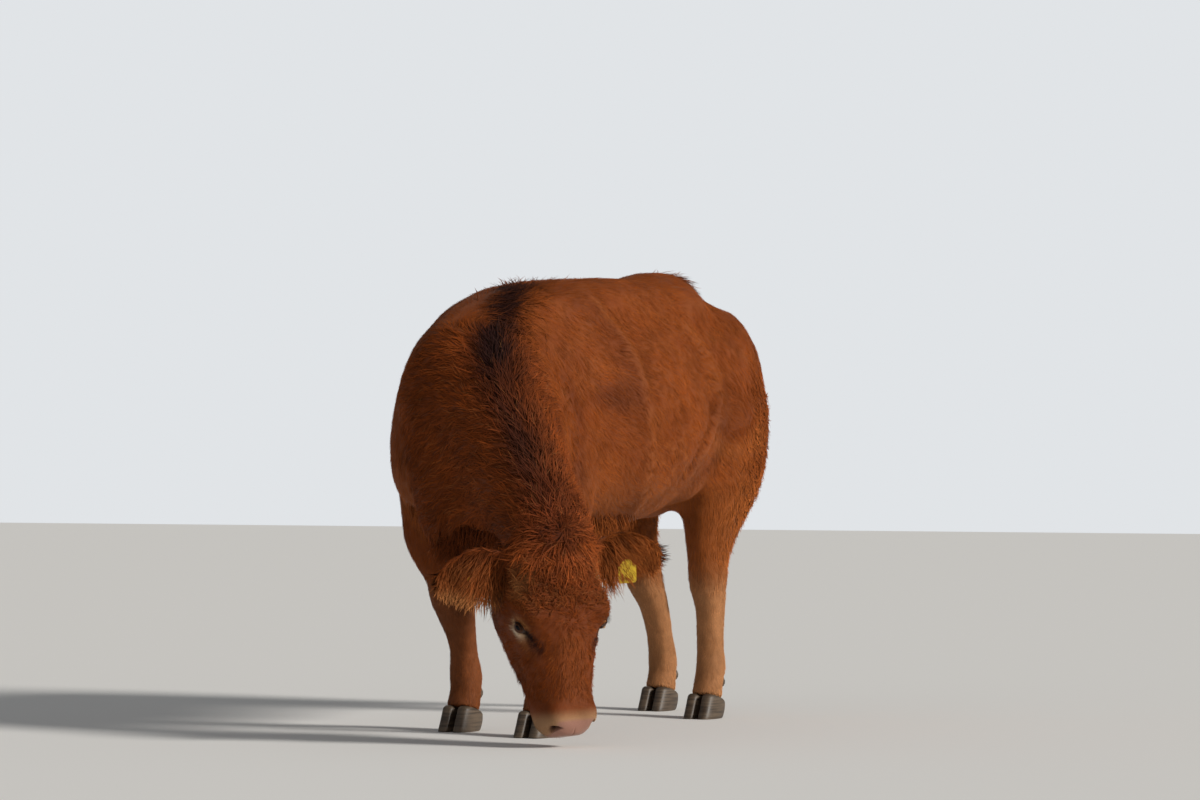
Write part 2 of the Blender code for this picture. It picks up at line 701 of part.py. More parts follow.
def flesh_names():
    """Roughly where the middle of every piece of flesh lies."""
    frame = head_frame()
    size = HEAD_LENGTH
    spots = {
        "trunk": (0.0, 0.60, 0.97),
        "neck": (0.20, -0.20, 0.85),
        "head": frame @ Vector((0, -0.10, -0.30 * size)),
        "muzzle": frame @ Vector((0, -0.08, -0.90 * size)),
        "lower_jaw": frame @ Vector((0, -0.24, -0.45 * size)),
        "chin": frame @ Vector((0, -0.18, -0.90 * size)),
        "ear_left": ear_frame(1) @ Vector((0.6 * EAR_LENGTH, 0, 0)),
        "ear_right": ear_frame(-1) @ Vector((0.6 * EAR_LENGTH, 0, 0)),
        "tail": (0, 1.36, 0.93),
        "tail_switch": (0, 1.36, 0.50),
    }
    for label, stance in (("left", FORE_LEFT), ("right", FORE_RIGHT)):
        x, y = stance["side"] * stance["foot_x"], stance["foot_y"]
        spots["fore_%s_forearm" % label] = (x * 1.2, y * 0.4, 0.57)
        spots["fore_%s_shank" % label] = (x, y * 0.8, 0.30)
        spots["fore_%s_pastern" % label] = (x, y, 0.11)
    for label, stance in (("left", HIND_LEFT), ("right", HIND_RIGHT)):
        x, step = stance["side"] * 0.17, stance["step"]
        spots["hind_%s_thigh" % label] = (x, 1.12 + step * 0.45, 0.60)
        spots["hind_%s_shank" % label] = (x, 1.12 + step * 0.8, 0.30)
        spots["hind_%s_pastern" % label] = (x, 1.11 + step, 0.11)
    return {name: Vector(spot) for name, spot in spots.items()}


def divided(thing, cuts, collection):
    """The bodies that a piece falls into under thin cuts; thing is used up."""
    for cut in cuts:
        boolean(thing, "DIFFERENCE", cut, collection)
    pieces = islands(thing.data)
    bpy.data.objects.remove(thing)
    return pieces


def flesh_parts(body, collection):
    """The body's flesh as named pieces; body is used up."""
    names = flesh_names()

    def name_of(piece):
        return min(names, key=lambda n: (names[n] - middle(piece)).length)

    pieces = divided(body, body_cuts(), collection)
    head = next(p for p in pieces if name_of(p) == "head")
    pieces.remove(head)
    pieces += divided(add_object("head_part", head, collection), head_cuts(), collection)
    parts = {name_of(piece): piece for piece in pieces}
    if len(parts) != len(pieces) or len(parts) != len(names):
        raise ValueError("the flesh did not part as named")
    return parts


def finish(name, mesh, collection, material):
    """A named, smooth-shaded node of triangles."""
    made = bmesh.new()
    made.from_mesh(mesh)
    bmesh.ops.triangulate(made, faces=made.faces)
    made.to_mesh(mesh)
    made.free()
    mesh.name = name
    thing = add_object(name, mesh, collection, material)
    mesh.shade_smooth()
    mesh.set_sharp_from_angle(angle=math.radians(42))
    return thing


def settle(nodes):
    """Moves every node together, so that the origin is under the middle of the whole."""
    spots = np.concatenate([[tuple(v.co) for v in node.data.vertices] for node in nodes])
    low, high = spots.min(axis=0), spots.max(axis=0)
    shift = Vector((-(low[0] + high[0]) / 2, -(low[1] + high[1]) / 2, -low[2]))
    for node in nodes:
        node.data.transform(Matrix.Translation(shift))
    return shift


def main():
    clear_scene()
    cow = bpy.data.collections.new("cow")
    bpy.context.scene.collection.children.link(cow)
    looks = {name: make_material(name) for name in COLOURS}

    body = add_object("body", flesh(cow), cow)
    thinned(body)
    for side in (1, -1):
        boolean(body, "UNION", ear(side), cow)
    boolean(body, "UNION", tail(), cow)
    for x, y in feet().values():
        boolean(body, "DIFFERENCE", under_coronet(x, y), cow)
        for centre, radii in dewclaws(x, y):
            socket = ball(centre, [r + GAP for r in radii], DEWCLAW_SIDES, DEWCLAW_RINGS)
            boolean(body, "DIFFERENCE", socket, cow)
    for side in (1, -1):
        spot = head_frame() @ Vector((side * EYE_SPOT[0], *EYE_SPOT[1:]))
        boolean(body, "DIFFERENCE", ball(spot, (EYE_RADIUS + GAP,) * 3), cow)
        boolean(body, "DIFFERENCE", ear_hole(side), cow)

    nodes = []
    for name, piece in flesh_parts(body, cow).items():
        nodes.append(finish(name, piece, cow, looks["muzzle" if name in BARE_SKINNED else "coat"]))

    for label, (x, y) in feet().items():
        for word, side in (("a", 1), ("b", -1)):
            nodes.append(finish("claw_%s_%s" % (label, word), claw(x, y, side), cow, looks["horn"]))
        for word, (centre, radii) in zip("ab", dewclaws(x, y)):
            dewclaw = ball(centre, radii, DEWCLAW_SIDES, DEWCLAW_RINGS)
            nodes.append(finish("dewclaw_%s_%s" % (label, word), dewclaw, cow, looks["horn"]))
    for label, side in (("left", 1), ("right", -1)):
        spot = head_frame() @ Vector((side * EYE_SPOT[0], *EYE_SPOT[1:]))
        nodes.append(finish("eye_" + label, ball(spot, (EYE_RADIUS,) * 3), cow, looks["eye"]))
        plate, stud, button = ear_tag(side)
        tag = add_object("tag", plate, cow)
        boolean(tag, "UNION", stud, cow)
        boolean(tag, "UNION", button, cow)
        nodes.append(finish("ear_tag_" + label, tag.data, cow, looks["tag"]))
        bpy.data.objects.remove(tag)
    settle(nodes)


main()
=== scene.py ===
"""Looks of the grazing cow: one skin over its flesh, a coat of mesh tufts, eyes, claws and ear tags.

Metres, +Z up. The cow faces -Y and its left side is +X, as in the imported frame. The skin is the
flesh nodes fused and smoothed, drawn in by the coat's depth, with lids, nostrils, lips and folds.
Every lock of hair is a closed, tapered strip of mesh that starts on the skin and follows its lie.
"""
import math

import bmesh
import bpy
import numpy as np
from mathutils import Matrix, Vector
from mathutils.bvhtree import BVHTree


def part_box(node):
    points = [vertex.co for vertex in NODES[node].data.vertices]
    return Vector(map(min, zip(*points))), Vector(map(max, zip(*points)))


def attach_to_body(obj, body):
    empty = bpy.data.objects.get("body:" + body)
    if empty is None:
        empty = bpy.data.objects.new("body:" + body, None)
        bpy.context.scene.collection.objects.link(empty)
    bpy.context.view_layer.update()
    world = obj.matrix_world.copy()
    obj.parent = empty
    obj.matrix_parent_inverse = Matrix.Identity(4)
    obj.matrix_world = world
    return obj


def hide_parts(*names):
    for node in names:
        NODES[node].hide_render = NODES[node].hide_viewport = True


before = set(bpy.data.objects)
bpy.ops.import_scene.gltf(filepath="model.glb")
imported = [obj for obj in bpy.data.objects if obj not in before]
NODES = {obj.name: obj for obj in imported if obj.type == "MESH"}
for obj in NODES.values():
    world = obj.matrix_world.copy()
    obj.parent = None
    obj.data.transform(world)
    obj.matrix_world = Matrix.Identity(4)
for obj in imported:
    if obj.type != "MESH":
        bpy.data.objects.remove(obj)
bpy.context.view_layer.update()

SIDES = {"left": 1, "right": -1}
APART = ("claw", "dewclaw", "eye", "ear_tag")
FLESH = sorted(name for name in NODES if not name.startswith(APART))

# Camera and light
CAMERA_SPOT = (6.357, -11.706, 0.83)
CAMERA_AZIMUTH = math.radians(28.5)
CAMERA_RISE = math.radians(0.64)
CAMERA_LENS = 134.2
SKY_LIGHT, SKY_SEEN = 0.22, 0.80
# Lamps: name, the way to it, strength, softness in degrees
LAMPS = (("key", (0.90, -0.02, 0.43), 3.3, 12), ("front", (0.10, -0.90, 0.45), 0.15, 60))

# Skin
VOXEL = 0.0065
JOIN = 0.0005               # flesh nodes grow by this to close the cuts between them
ROUNDS_BROAD = 70           # smoothing of the trunk, neck and thighs
ROUNDS_FINE = 14            # and of everything
BODY_TRIANGLES = 80000      # left of the skin's triangles outside the head and ears

# Head space: +X the head's left, +Y out of the forehead, +Z from the muzzle to the poll
HEAD_YAW = math.radians(58)
HEAD_PITCH = math.radians(4)
HEAD_ROLL = math.radians(3)
HEAD_LENGTH = 0.555
EYE_RADIUS = 0.0205
EYES_IN_HEAD = (0, -0.070, -0.432 * HEAD_LENGTH)       # midway between the eyes
WHORL = np.array((0.0, 0.0, -0.231))                   # where the forehead's hair turns
MOUTH_POINT = np.array((0, -0.170, -0.62 * HEAD_LENGTH))
MOUTH_NORMAL = np.array((0, -0.93, -0.20)) / math.hypot(0.93, 0.20)
NOSTRIL = (0.041, -0.070, -0.512)                      # the left one, and its half-sizes
NOSTRIL_HALF = (0.0225, 0.0120)
SLIT_HALF = 0.0200          # half-length of the slit between the lids, and how far each lid opens
UPPER_LID = 0.0115
LOWER_LID = 0.0094

# The coat by region: its piece, depth of the skin under it, tufts per square metre, their length,
# width, how far their tips stand off (share of length) and how much they curl (radians a tuft)
COAT = {
    "trunk": ("trunk", 0.0070, 26000, 0.040, 0.0024, 0.07, 0.0),
    "neck": ("neck", 0.0105, 23000, 0.050, 0.0029, 0.11, 0.60),
    "head": ("head", 0.0045, 88000, 0.020, 0.0021, 0.17, 0.55),
    "lower_jaw": ("head", 0.0050, 75000, 0.024, 0.0018, 0.13, 0.0),
    "muzzle": ("head", 0.0012, 150000, 0.007, 0.0011, 0.12, 0.0),
    "chin": ("head", 0.0015, 120000, 0.010, 0.0012, 0.14, 0.0),
    "ear": ("ears", 0.0030, 90000, 0.024, 0.0018, 0.18, 0.30),
    "forearm": ("legs", 0.0060, 42000, 0.028, 0.0023, 0.09, 0.0),
    "thigh": ("legs", 0.0065, 36000, 0.030, 0.0024, 0.10, 0.0),
    "shank": ("legs", 0.0035, 70000, 0.016, 0.0017, 0.10, 0.0),
    "pastern": ("legs", 0.0035, 80000, 0.018, 0.0019, 0.13, 0.0),
    "tail": ("tail", 0.0045, 60000, 0.036, 0.0022, 0.10, 0.0),
    "tail_switch": ("tail", 0.0170, 60000, 0.090, 0.0030, 0.10, 0.30),
}
# Longer locks by ground: tufts per square metre, width, lift, curl, stations and wander; tone, share
# of pale wisps, tone at base (painted darker, as shade deep in the coat) and tip, and gold of the tips;
# then whether they hang down or stand up
LONG_COAT = {
    "crest": (22000, 0.0032, 0.20, 0.9, 4, 0.34, 0.90, 0.05, 0.6, 1.1, 0.1, ""),
    "poll": (40000, 0.0030, 0.14, 0.8, 4, 0.45, 1.35, 0.15, 0.65, 1.35, 0.25, ""),
    "crown": (34000, 0.0030, 0.35, 0.9, 4, 1.30, 0.80, 0.05, 0.7, 1.1, 0.1, ""),
    "whorl": (90000, 0.0018, 0.30, 1.5, 4, 1.10, 0.95, 0.05, 0.7, 1.1, 0.0, ""),
    "brow": (42000, 0.0034, 0.26, 1.2, 4, 0.85, 0.72, 0.06, 0.45, 1.3, 0.1, ""),
    "socket": (70000, 0.0016, 0.32, 0.4, 3, 0.30, 0.80, 0.05, 0.7, 1.1, 0.1, ""),
    "fringe": (68000, 0.0024, 0.12, 0.4, 3, 0.22, 0.74, 0.08, 0.45, 1.4, 0.22, ""),
    "button": (90000, 0.0024, 0.34, 0.4, 4, 0.20, 0.80, 0.06, 0.6, 1.3, 0.40, ""),
    "rim": (70000, 0.0023, 0.10, 0.4, 4, 0.25, 0.80, 0.10, 0.6, 1.4, 0.70, "down"),
    "tip": (52000, 0.0024, 0.08, 0.2, 3, 0.10, 0.78, 0.05, 0.7, 1.2, 0.25, "up"),
    "tailhead": (26000, 0.0032, 0.24, 0.7, 4, 0.34, 0.90, 0.05, 0.6, 1.1, 0.1, ""),
    "haunch": (12000, 0.0034, 0.26, 2.2, 4, 0.60, 0.90, 0.08, 0.55, 1.2, 0.1, ""),
    "brisket": (24000, 0.0036, 0.20, 0.5, 3, 0.30, 0.80, 0.04, 0.80, 1.00, 0.0, "down"),
    "coronet": (50000, 0.0022, 0.05, 0.2, 3, 0.20, 0.95, 0.05, 0.8, 1.1, 0.0, ""),
}
LONG_SEED = 31              # of the first ground; each next ground adds one
CURLY = ("neck", "tail_switch")    # hair long enough to bend; elsewhere each lock is one spike
FACE = ("head", "lower_jaw", "muzzle", "chin")
REGIONS = list(COAT)
MAX_FACES = 190000          # triangles in one piece of the coat
FEWEST_TUFTS = 64           # a piece with fewer is not worth making
PATCH = 0.003               # size of a tuft's patch on the bake map
LAYOUT_FACES = 9000         # in the light copy of the skin that is laid out flat
ROUND = 0.55                # how far a lock's shading turns to its sides
THICK = 0.26                # height of a lock over its width

# Colours
RUSSET = np.array((0.245, 0.053, 0.008))
DARK = np.array((0.020, 0.005, 0.004))
UMBER = np.array((0.105, 0.021, 0.005))
LIGHT = np.array((0.380, 0.105, 0.022))
SAND = np.array((0.540, 0.225, 0.075))
FAWN = SAND * (0.95, 1.05, 1.30)
BUFF = np.array((0.640, 0.400, 0.210))
CREAM = np.array((0.900, 0.740, 0.560))
PINK = np.array((0.330, 0.165, 0.120))
EYE_RING, IRIS, PUPIL = (0.055, 0.036, 0.028), (0.070, 0.026, 0.012), (0.002, 0.002, 0.003)
WARM_SHEEN = (1.0, 0.62, 0.40, 1)
BAND_SHIFT = (0.019, 0.010, 0.0)   # the dark band of the crest has its roots left of the parting
DOWN = np.array((0.0, 0.0, -1.0))


def region_of(node):
    for name in sorted(REGIONS, key=len, reverse=True):
        if name in node:
            return name
    return "trunk"


# Reading and making meshes ---------------------------------------------------------------

def read(items, name, width, kind=np.float32):
    found = np.empty(len(items) * width, kind)
    items.foreach_get(name, found)
    return found.reshape(-1, width)


def write(items, name, values, kind=np.float32):
    items.foreach_set(name, np.asarray(values).astype(kind).ravel())


def points_of(mesh):
    return read(mesh.vertices, "co", 3).astype(float)


def normals_of(mesh):
    return read(mesh.vertices, "normal", 3).astype(float)


def set_points(mesh, spots):
    write(mesh.vertices, "co", spots)
    mesh.update()


def triangles_of(mesh):
    mesh.calc_loop_triangles()
    return read(mesh.loop_triangles, "vertices", 3, np.int32)


def mesh_from(name, spots, triangles):
    mesh = bpy.data.meshes.new(name)
    mesh.vertices.add(len(spots))
    write(mesh.vertices, "co", spots)
    mesh.loops.add(3 * len(triangles))
    write(mesh.loops, "vertex_index", triangles, np.int32)
    mesh.polygons.add(len(triangles))
    write(mesh.polygons, "loop_start", np.arange(0, 3 * len(triangles), 3), np.int32)
    mesh.update(calc_edges=True)
    mesh.shade_smooth()
    return mesh


def mesh_of(made, name):
    mesh = bpy.data.meshes.new(name)
    made.to_mesh(mesh)
    made.free()
    mesh.shade_smooth()
    return mesh


def ball(name, segments, rings, radius):
    made = bmesh.new()
    bmesh.ops.create_uvsphere(made, u_segments=segments, v_segments=rings, radius=radius)
    return mesh_of(made, name)


def paint(mesh, colours):
    layer = mesh.color_attributes.new("tint", "FLOAT_COLOR", "POINT")
    write(layer.data, "color", np.concatenate([colours, np.ones((len(colours), 1))], 1))


def attach(mesh, name, values):
    """Values at every vertex for the materials to read."""
    kind, key = ("FLOAT_VECTOR", "vector") if values.ndim > 1 else ("FLOAT", "value")
    write(mesh.attributes.new(name, kind, "POINT").data, key, values)


def add_object(name, mesh, material=None):
    thing = bpy.data.objects.new(name, mesh)
    bpy.context.scene.collection.objects.link(thing)
    if material:
        mesh.materials.clear()
        mesh.materials.append(material)
    return thing


def piece(name, mesh, material, slot, *nodes):
    thing = add_object(name, mesh, material)
    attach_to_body(thing, "root")
    if nodes:
        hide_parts(*nodes)


def altered(mesh, *steps, limit=None):
    """The mesh after modifiers, each a kind with its settings; limit weighs the group of that name."""
    thing = add_object("altered", mesh)
    thing.vertex_groups.clear()
    if limit is not None:
        group = thing.vertex_groups.new(name="limit")
        levels = np.round(limit * 10).astype(int)
        for level in range(1, 11):
            chosen = np.nonzero(levels == level)[0]
            if len(chosen):
                group.add(chosen.tolist(), level / 10, "REPLACE")
    for kind, settings in steps:
        modifier = thing.modifiers.new(kind, kind)
        for key, value in settings.items():
            setattr(modifier, key, value)
    result = thing.evaluated_get(bpy.context.evaluated_depsgraph_get())
    result = bpy.data.meshes.new_from_object(result)
    bpy.data.objects.remove(thing)
    return result


def tree_of(spots, corners):
    return BVHTree.FromPolygons(spots.tolist(), corners.tolist())


def unit(vectors):
    return vectors / np.maximum(np.linalg.norm(vectors, axis=-1, keepdims=True), 1e-12)


def dot(a, b):
    return (a * b).sum(axis=-1)


def ramp(value, start, end):
    """0 at start, 1 at end, smooth between."""
    t = np.clip((value - start) / (end - start), 0, 1)
    return t * t * (3 - 2 * t)


def bell(value, width):
    return np.exp(-((value / width) ** 2))


def near(offsets, width):
    return bell(np.linalg.norm(offsets, axis=1), width)


def ripple(spots, wavelength, seed):
    """Smooth random values of about unit spread that change over a wavelength."""
    rng = np.random.default_rng(seed)
    waves = unit(rng.normal(size=(12, 3))) * rng.uniform(0.6, 1.6, (12, 1)) * math.tau / wavelength
    return np.sin(spots @ waves.T + rng.uniform(0, math.tau, 12)).sum(axis=1) / math.sqrt(6)


def corners_of(name):
    return [np.array(corner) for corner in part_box(name)]


def middle(name):
    low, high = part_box(name)
    return np.array((low + high) / 2)


# Where things are ------------------------------------------------------------------------

def head_axes():
    """The head's left, the way out of its forehead, and the way up to its poll, as rows."""
    turn = Matrix.Rotation(HEAD_YAW, 3, "Z")
    pitch = Matrix.Rotation(-HEAD_PITCH, 3, "X")
    roll = Matrix.Rotation(-HEAD_ROLL, 3, "Y")
    return np.array((turn @ pitch @ roll @ Matrix.Diagonal((1, -1, 1))).transposed())


HEAD_AXES = head_axes()
EYE_SPOTS = {side: middle("eye_" + side) for side in SIDES}
POLL = (EYE_SPOTS["left"] + EYE_SPOTS["right"]) / 2 - np.array(EYES_IN_HEAD) @ HEAD_AXES
COW_ORIGIN = POLL - np.array((0.486, -0.380, 0.588))     # on the floor, between the elbows
CREST = COW_ORIGIN + np.array((
    (-0.020, 0.340, 1.320), (0.025, 0.150, 1.308), (0.082, -0.040, 1.228), (0.130, -0.125, 1.140),
    (0.188, -0.195, 1.050), (0.242, -0.262, 0.962), (0.316, -0.296, 0.870),
    (0.392, -0.342, 0.750), (0.471, -0.388, 0.608),
))

# Lines on the cow's side, as y and z in cow space
SHOULDER_EDGE = (
    (0.304, 1.275), (0.389, 1.168), (0.413, 1.034), (0.433, 0.868), (0.465, 0.717), (0.531, 0.631),
)
FLANK_FOLD = (
    (0.762, 1.210), (0.835, 1.143), (0.857, 1.057), (0.880, 0.989), (0.829, 0.885), (0.768, 0.808),
    (0.715, 0.748),
)
THIGH_EDGE = ((0.859, 0.885), (0.993, 0.866), (1.081, 0.886), (1.162, 0.935))
NECK_GROOVE = ((0.026, 1.013), (0.050, 0.948), (0.036, 0.850), (0.020, 0.752))

# Muscle edges and folds: height, line, width, and how far the form lies behind and above the line
SIDE_FORMS = (
    (0.0040, SHOULDER_EDGE, 0.020), (-0.0045, SHOULDER_EDGE, 0.032, 0.042),
    (0.0050, FLANK_FOLD, 0.018), (-0.0060, FLANK_FOLD, 0.028, -0.038),
    (0.0060, THIGH_EDGE, 0.026, 0.0, 0.038), (-0.0035, THIGH_EDGE, 0.032),
    (-0.0070, NECK_GROOVE, 0.015),
)
# Painted light and shade along the same lines: painted highlights on the shoulder edge, behind the flank
# fold and under the thigh edge, painted shade before the shoulder edge and over the thigh edge; colour,
# share, line, width, behind and above
SIDE_LIGHT_AND_SHADE = (
    (UMBER, 0.35, SHOULDER_EDGE, 0.050, -0.060), (LIGHT, 0.50, SHOULDER_EDGE, 0.010),
    (LIGHT, 0.35, FLANK_FOLD, 0.020, 0.012), (UMBER, 0.32, THIGH_EDGE, 0.060, 0.0, 0.050),
    (LIGHT, 0.70, THIGH_EDGE, 0.030, 0.0, -0.034),
)
FACE_FORMS = (
    # height, place and half-sizes in head space, x on both sides
    (-0.0050, (0.074, -0.030, -0.315), (0.022, 0.040, 0.045)),      # hollow before the eye
    (0.0035, (0.105, -0.105, -0.330), (0.030, 0.016, 0.060)),       # facial crest
    (-0.0040, (0.115, -0.150, -0.380), (0.040, 0.022, 0.060)),      # cheek below it
    (0.0060, (0.108, -0.015, -0.205), (0.030, 0.030, 0.020)),       # brow
    (0.0070, (0.122, -0.008, -0.238), (0.018, 0.020, 0.026)),       # rim of the eye socket
    (0.0040, (0.052, -0.055, -0.505), (0.020, 0.030, 0.018)),       # wing of the nostril
    (-0.0030, (0.000, -0.010, -0.420), (0.018, 0.040, 0.070)),      # dip of the nose bridge
    (0.0030, (0.034, -0.010, -0.400), (0.012, 0.040, 0.080)),       # nasal bones
)


def in_head(spots):
    return (spots - POLL) @ HEAD_AXES.T


def from_head(spots):
    return np.asarray(spots, float) @ HEAD_AXES + POLL


def body_space(spots):
    """Cow space: x from the middle plane, y = 0 over the elbows."""
    return spots - COW_ORIGIN


def line_place(spots, points):
    """Offset from the nearest point of a line, the line's run there and how far along it is."""
    best = np.full(len(spots), 1e9)
    offset, run, along = np.zeros_like(spots), np.zeros_like(spots), np.zeros(len(spots))
    for k in range(len(points) - 1):
        start, span = points[k], points[k + 1] - points[k]
        t = np.clip((spots - start) @ span / (span @ span), 0, 1)
        gap = spots - start - t[:, None] * span
        size = np.linalg.norm(gap, axis=1)
        nearer = size < best
        best[nearer] = size[nearer]
        offset[nearer], run[nearer] = gap[nearer], unit(span)
        along[nearer] = (k + t[nearer]) / (len(points) - 1)
    return offset, run, along


def crest_line(spots):
    """Nearness to the line of the crest and withers, 1 on the line."""
    offset, _, along = line_place(spots, CREST)
    return near(offset, 0.055) * ramp(along, 0.0, 0.06) * ramp(along, 1.0, 0.94)


def side_line(cow, points, width, behind=0.0, above=0.0):
    """Nearness to a line drawn on the cow's side, as seen from the side, 1 on the line."""
    return near(line_place(cow[:, 1:] - (behind, above), np.array(points))[0], width)


def ear_run(spots):
    """How far along its ear a point lies: 0 at the root, 1 at the tip."""
    run = np.zeros(len(spots))
    local = in_head(spots)
    for side, sign in SIDES.items():
        root = from_head((sign * 0.100, -0.115, -0.055))
        reach = middle("ear_" + side) - root
        here = local[:, 0] * sign > 0
        run[here] = (spots[here] - root) @ reach / (2 * reach @ reach)
    return run.clip(0, 1)


def eye_axes(side):
    """Outward gaze, along the slit to the front corner, and up across the lids, as rows."""
    sign = SIDES[side]
    gaze = unit(np.array((sign * 0.88, 0.47, -0.02)))
    slit = np.array((sign * -0.36, 0.58, -0.72))
    slit = unit(slit - gaze * dot(slit, gaze))
    up = np.cross(gaze, slit)
    up = up if up[1] > 0 else -up
    return np.array((gaze, slit, up)) @ HEAD_AXES


def almond(spots, side, margin=0.0):
    """Eye-space coordinates, and how far inside the slit between the lids a point lies."""
    ahead, along, up = ((spots - EYE_SPOTS[side]) @ eye_axes(side).T).T
    bow = 1 - (along / (SLIT_HALF + margin)) ** 2
    inside = np.minimum((UPPER_LID + margin) * bow - up, up + (LOWER_LID + margin) * bow)
    return ahead, along, up, np.where((ahead > 0) & (ahead < 0.045), inside, -1.0)


def lid_rim(spots, margin):
    """1 inside the slit grown by a margin, of either eye, falling off at its edge."""
    return np.max([ramp(almond(spots, side, margin)[3], -0.0006, 0.0006) for side in SIDES], axis=0)


def tear_line(forward, up, width):
    """Nearness to the trough that runs from the eye's front corner down the face."""
    return bell(up + 0.20 * (forward - 0.017), width)


# Skin ------------------------------------------------------------------------------------

def fused_flesh():
    """The flesh nodes and the eyeballs as one closed surface."""
    made = bmesh.new()
    for name in FLESH:
        made.from_mesh(NODES[name].data)
    bmesh.ops.remove_doubles(made, verts=made.verts, dist=1e-6)
    made.normal_update()
    for v in made.verts:
        v.co += v.normal * JOIN
    for spot in EYE_SPOTS.values():
        bmesh.ops.create_uvsphere(
            made, u_segments=24, v_segments=16, radius=EYE_RADIUS + 0.002,
            matrix=Matrix.Translation(spot),
        )
    return altered(mesh_of(made, "flesh"), ("REMESH", dict(mode="VOXEL", voxel_size=VOXEL)))


def head_share(spots):
    """1 on the head and ears, 0 on the rest."""
    local = in_head(spots)
    away = np.linalg.norm(local - np.array((0, -0.12, -0.24)), axis=1)
    return ramp(away, 0.44, 0.37) * ramp(local[:, 2], 0.09, 0.04)


def smoothed(mesh):
    spots = points_of(mesh)
    return altered(
        mesh, ("SMOOTH", dict(factor=0.5, iterations=ROUNDS_BROAD, vertex_group="limit")),
        ("SMOOTH", dict(factor=0.5, iterations=ROUNDS_FINE)),
        limit=ramp(spots[:, 2], 0.50, 0.66) * (1 - head_share(spots)),
    )


def thinned(mesh):
    """Larger triangles on the body; the head and ears keep theirs."""
    corners = triangles_of(mesh)
    on_head = head_share(points_of(mesh)) > 0.02
    ratio = (on_head[corners].all(axis=1).sum() + BODY_TRIANGLES) / len(corners)
    settings = dict(ratio=ratio, vertex_group="limit", use_collapse_triangulate=True)
    return altered(mesh, ("DECIMATE", settings), limit=1.0 - on_head)


def refined(mesh):
    """Finer triangles on the face, and more so round the eyes, nostrils and lips."""
    made = bmesh.new()
    made.from_mesh(mesh)
    eyes = [Vector(spot) for spot in EYE_SPOTS.values()]
    nose = Vector(from_head((0, -0.09, -0.52)))
    for reach_eye, reach_nose in ((0.060, 0.085), (0.036, 0.075), (0.030, 0)):
        chosen = [
            e for e in made.edges
            if any((v.co - eye).length < reach_eye for v in e.verts for eye in eyes)
            or any((v.co - nose).length < reach_nose for v in e.verts)
        ]
        bmesh.ops.subdivide_edges(made, edges=chosen, cuts=1, use_grid_fill=True, smooth=0)
        bmesh.ops.triangulate(made, faces=[f for f in made.faces if len(f.verts) > 3])
    return mesh_of(made, "skin")


def region_weights(mesh):
    """How much of each region every vertex belongs to, blended over the borders."""
    spots = points_of(mesh)
    flesh, corners, node_of = [], [], []
    for name in FLESH:
        found = triangles_of(NODES[name].data)
        corners.append(found + sum(len(f) for f in flesh))
        flesh.append(points_of(NODES[name].data))
        node_of += [REGIONS.index(region_of(name))] * len(found)
    tree = tree_of(np.concatenate(flesh), np.concatenate(corners))
    nearest = [tree.find_nearest(Vector(p))[2] for p in spots]
    weights = np.eye(len(REGIONS))[np.array(node_of)[nearest]]
    first, second = read(mesh.edges, "vertices", 2, np.int32).T
    count = np.bincount(np.concatenate([first, second]), minlength=len(spots))[:, None]
    for _ in range(16):
        total = np.empty_like(weights)
        for k in range(len(REGIONS)):
            total[:, k] = np.bincount(first, weights[second, k], len(spots))
            total[:, k] += np.bincount(second, weights[first, k], len(spots))
        weights = (weights + total) / (1 + count)
    return weights


def share_of(weights, *names):
    return weights[:, [REGIONS.index(name) for name in names]].sum(axis=1)


def lids(spots):
    """Skin round the eyes: a thick lid over the ball, an almond opening and a crease above it."""
    for side in SIDES:
        offset = spots - EYE_SPOTS[side]
        away = np.linalg.norm(offset, axis=1)
        close = np.nonzero(away < 0.050)[0]
        ahead, along, up, inside = almond(spots[close], side)
        away = away[close]
        bow = np.clip(1 - (along / SLIT_HALF) ** 2, 0, 1)
        angle = np.arctan2(np.hypot(along, up), ahead)
        margin = bell(inside + 0.0026, 0.0022)
        middle_part = ramp(abs(along), 0.026, 0.012)
        lid = EYE_RADIUS + 0.0034 * ramp(inside, 0.0004, -0.0022) + 0.0012 * margin * (up > 0)
        lid -= 0.0020 * bell(up - UPPER_LID * bow - 0.0070, 0.0017) * middle_part
        lid -= 0.0012 * bell(up + LOWER_LID * bow + 0.0065, 0.0016) * middle_part
        target = np.where(inside > 0, EYE_RADIUS - 0.0050 * ramp(inside, 0, 0.0016), lid)
        hold = ramp(angle, math.radians(92), math.radians(58)) * ramp(away, 0.046, 0.032)
        hold = np.where(inside > 0, np.maximum(hold, ramp(inside, -0.001, 0.0005)), hold)
        new = away + (target - away) * hold
        new = np.where(inside > 0, new, np.maximum(new, EYE_RADIUS + 0.0016))
        spots[close] = EYE_SPOTS[side] + offset[close] * (new / np.maximum(away, 1e-6))[:, None]
    return spots


def nostril_pit(local):
    """How deep in a nostril a point of head space lies, 0 to 1."""
    depth = np.zeros(len(local))
    for sign in SIDES.values():
        out = unit(np.array((sign * 0.62, 0.62, -0.48)))
        length = unit(np.array((sign * 0.50, -0.72, -0.30)))
        length = unit(length - out * dot(length, out))
        offset = local - np.array(NOSTRIL) * (sign, 1, 1)
        a, b = offset @ length, offset @ np.cross(out, length)
        b = b + 0.30 * (a ** 2) / 0.014
        pit = ramp(np.hypot(a / NOSTRIL_HALF[0], b / NOSTRIL_HALF[1]), 1.1, 0.60)
        depth = np.maximum(depth, pit * (offset @ out > -0.03))
    return depth


def mound(local, spot, size):
    """A soft bump round a spot of the face and its mirror image, by its half-sizes."""
    gap = (np.abs(local[:, :1]) - spot[0]) / size[0]
    rest = (local[:, 1:] - np.array(spot[1:])) / np.array(size[1:])
    return np.exp(-(gap[:, 0] ** 2) - (rest ** 2).sum(axis=1))


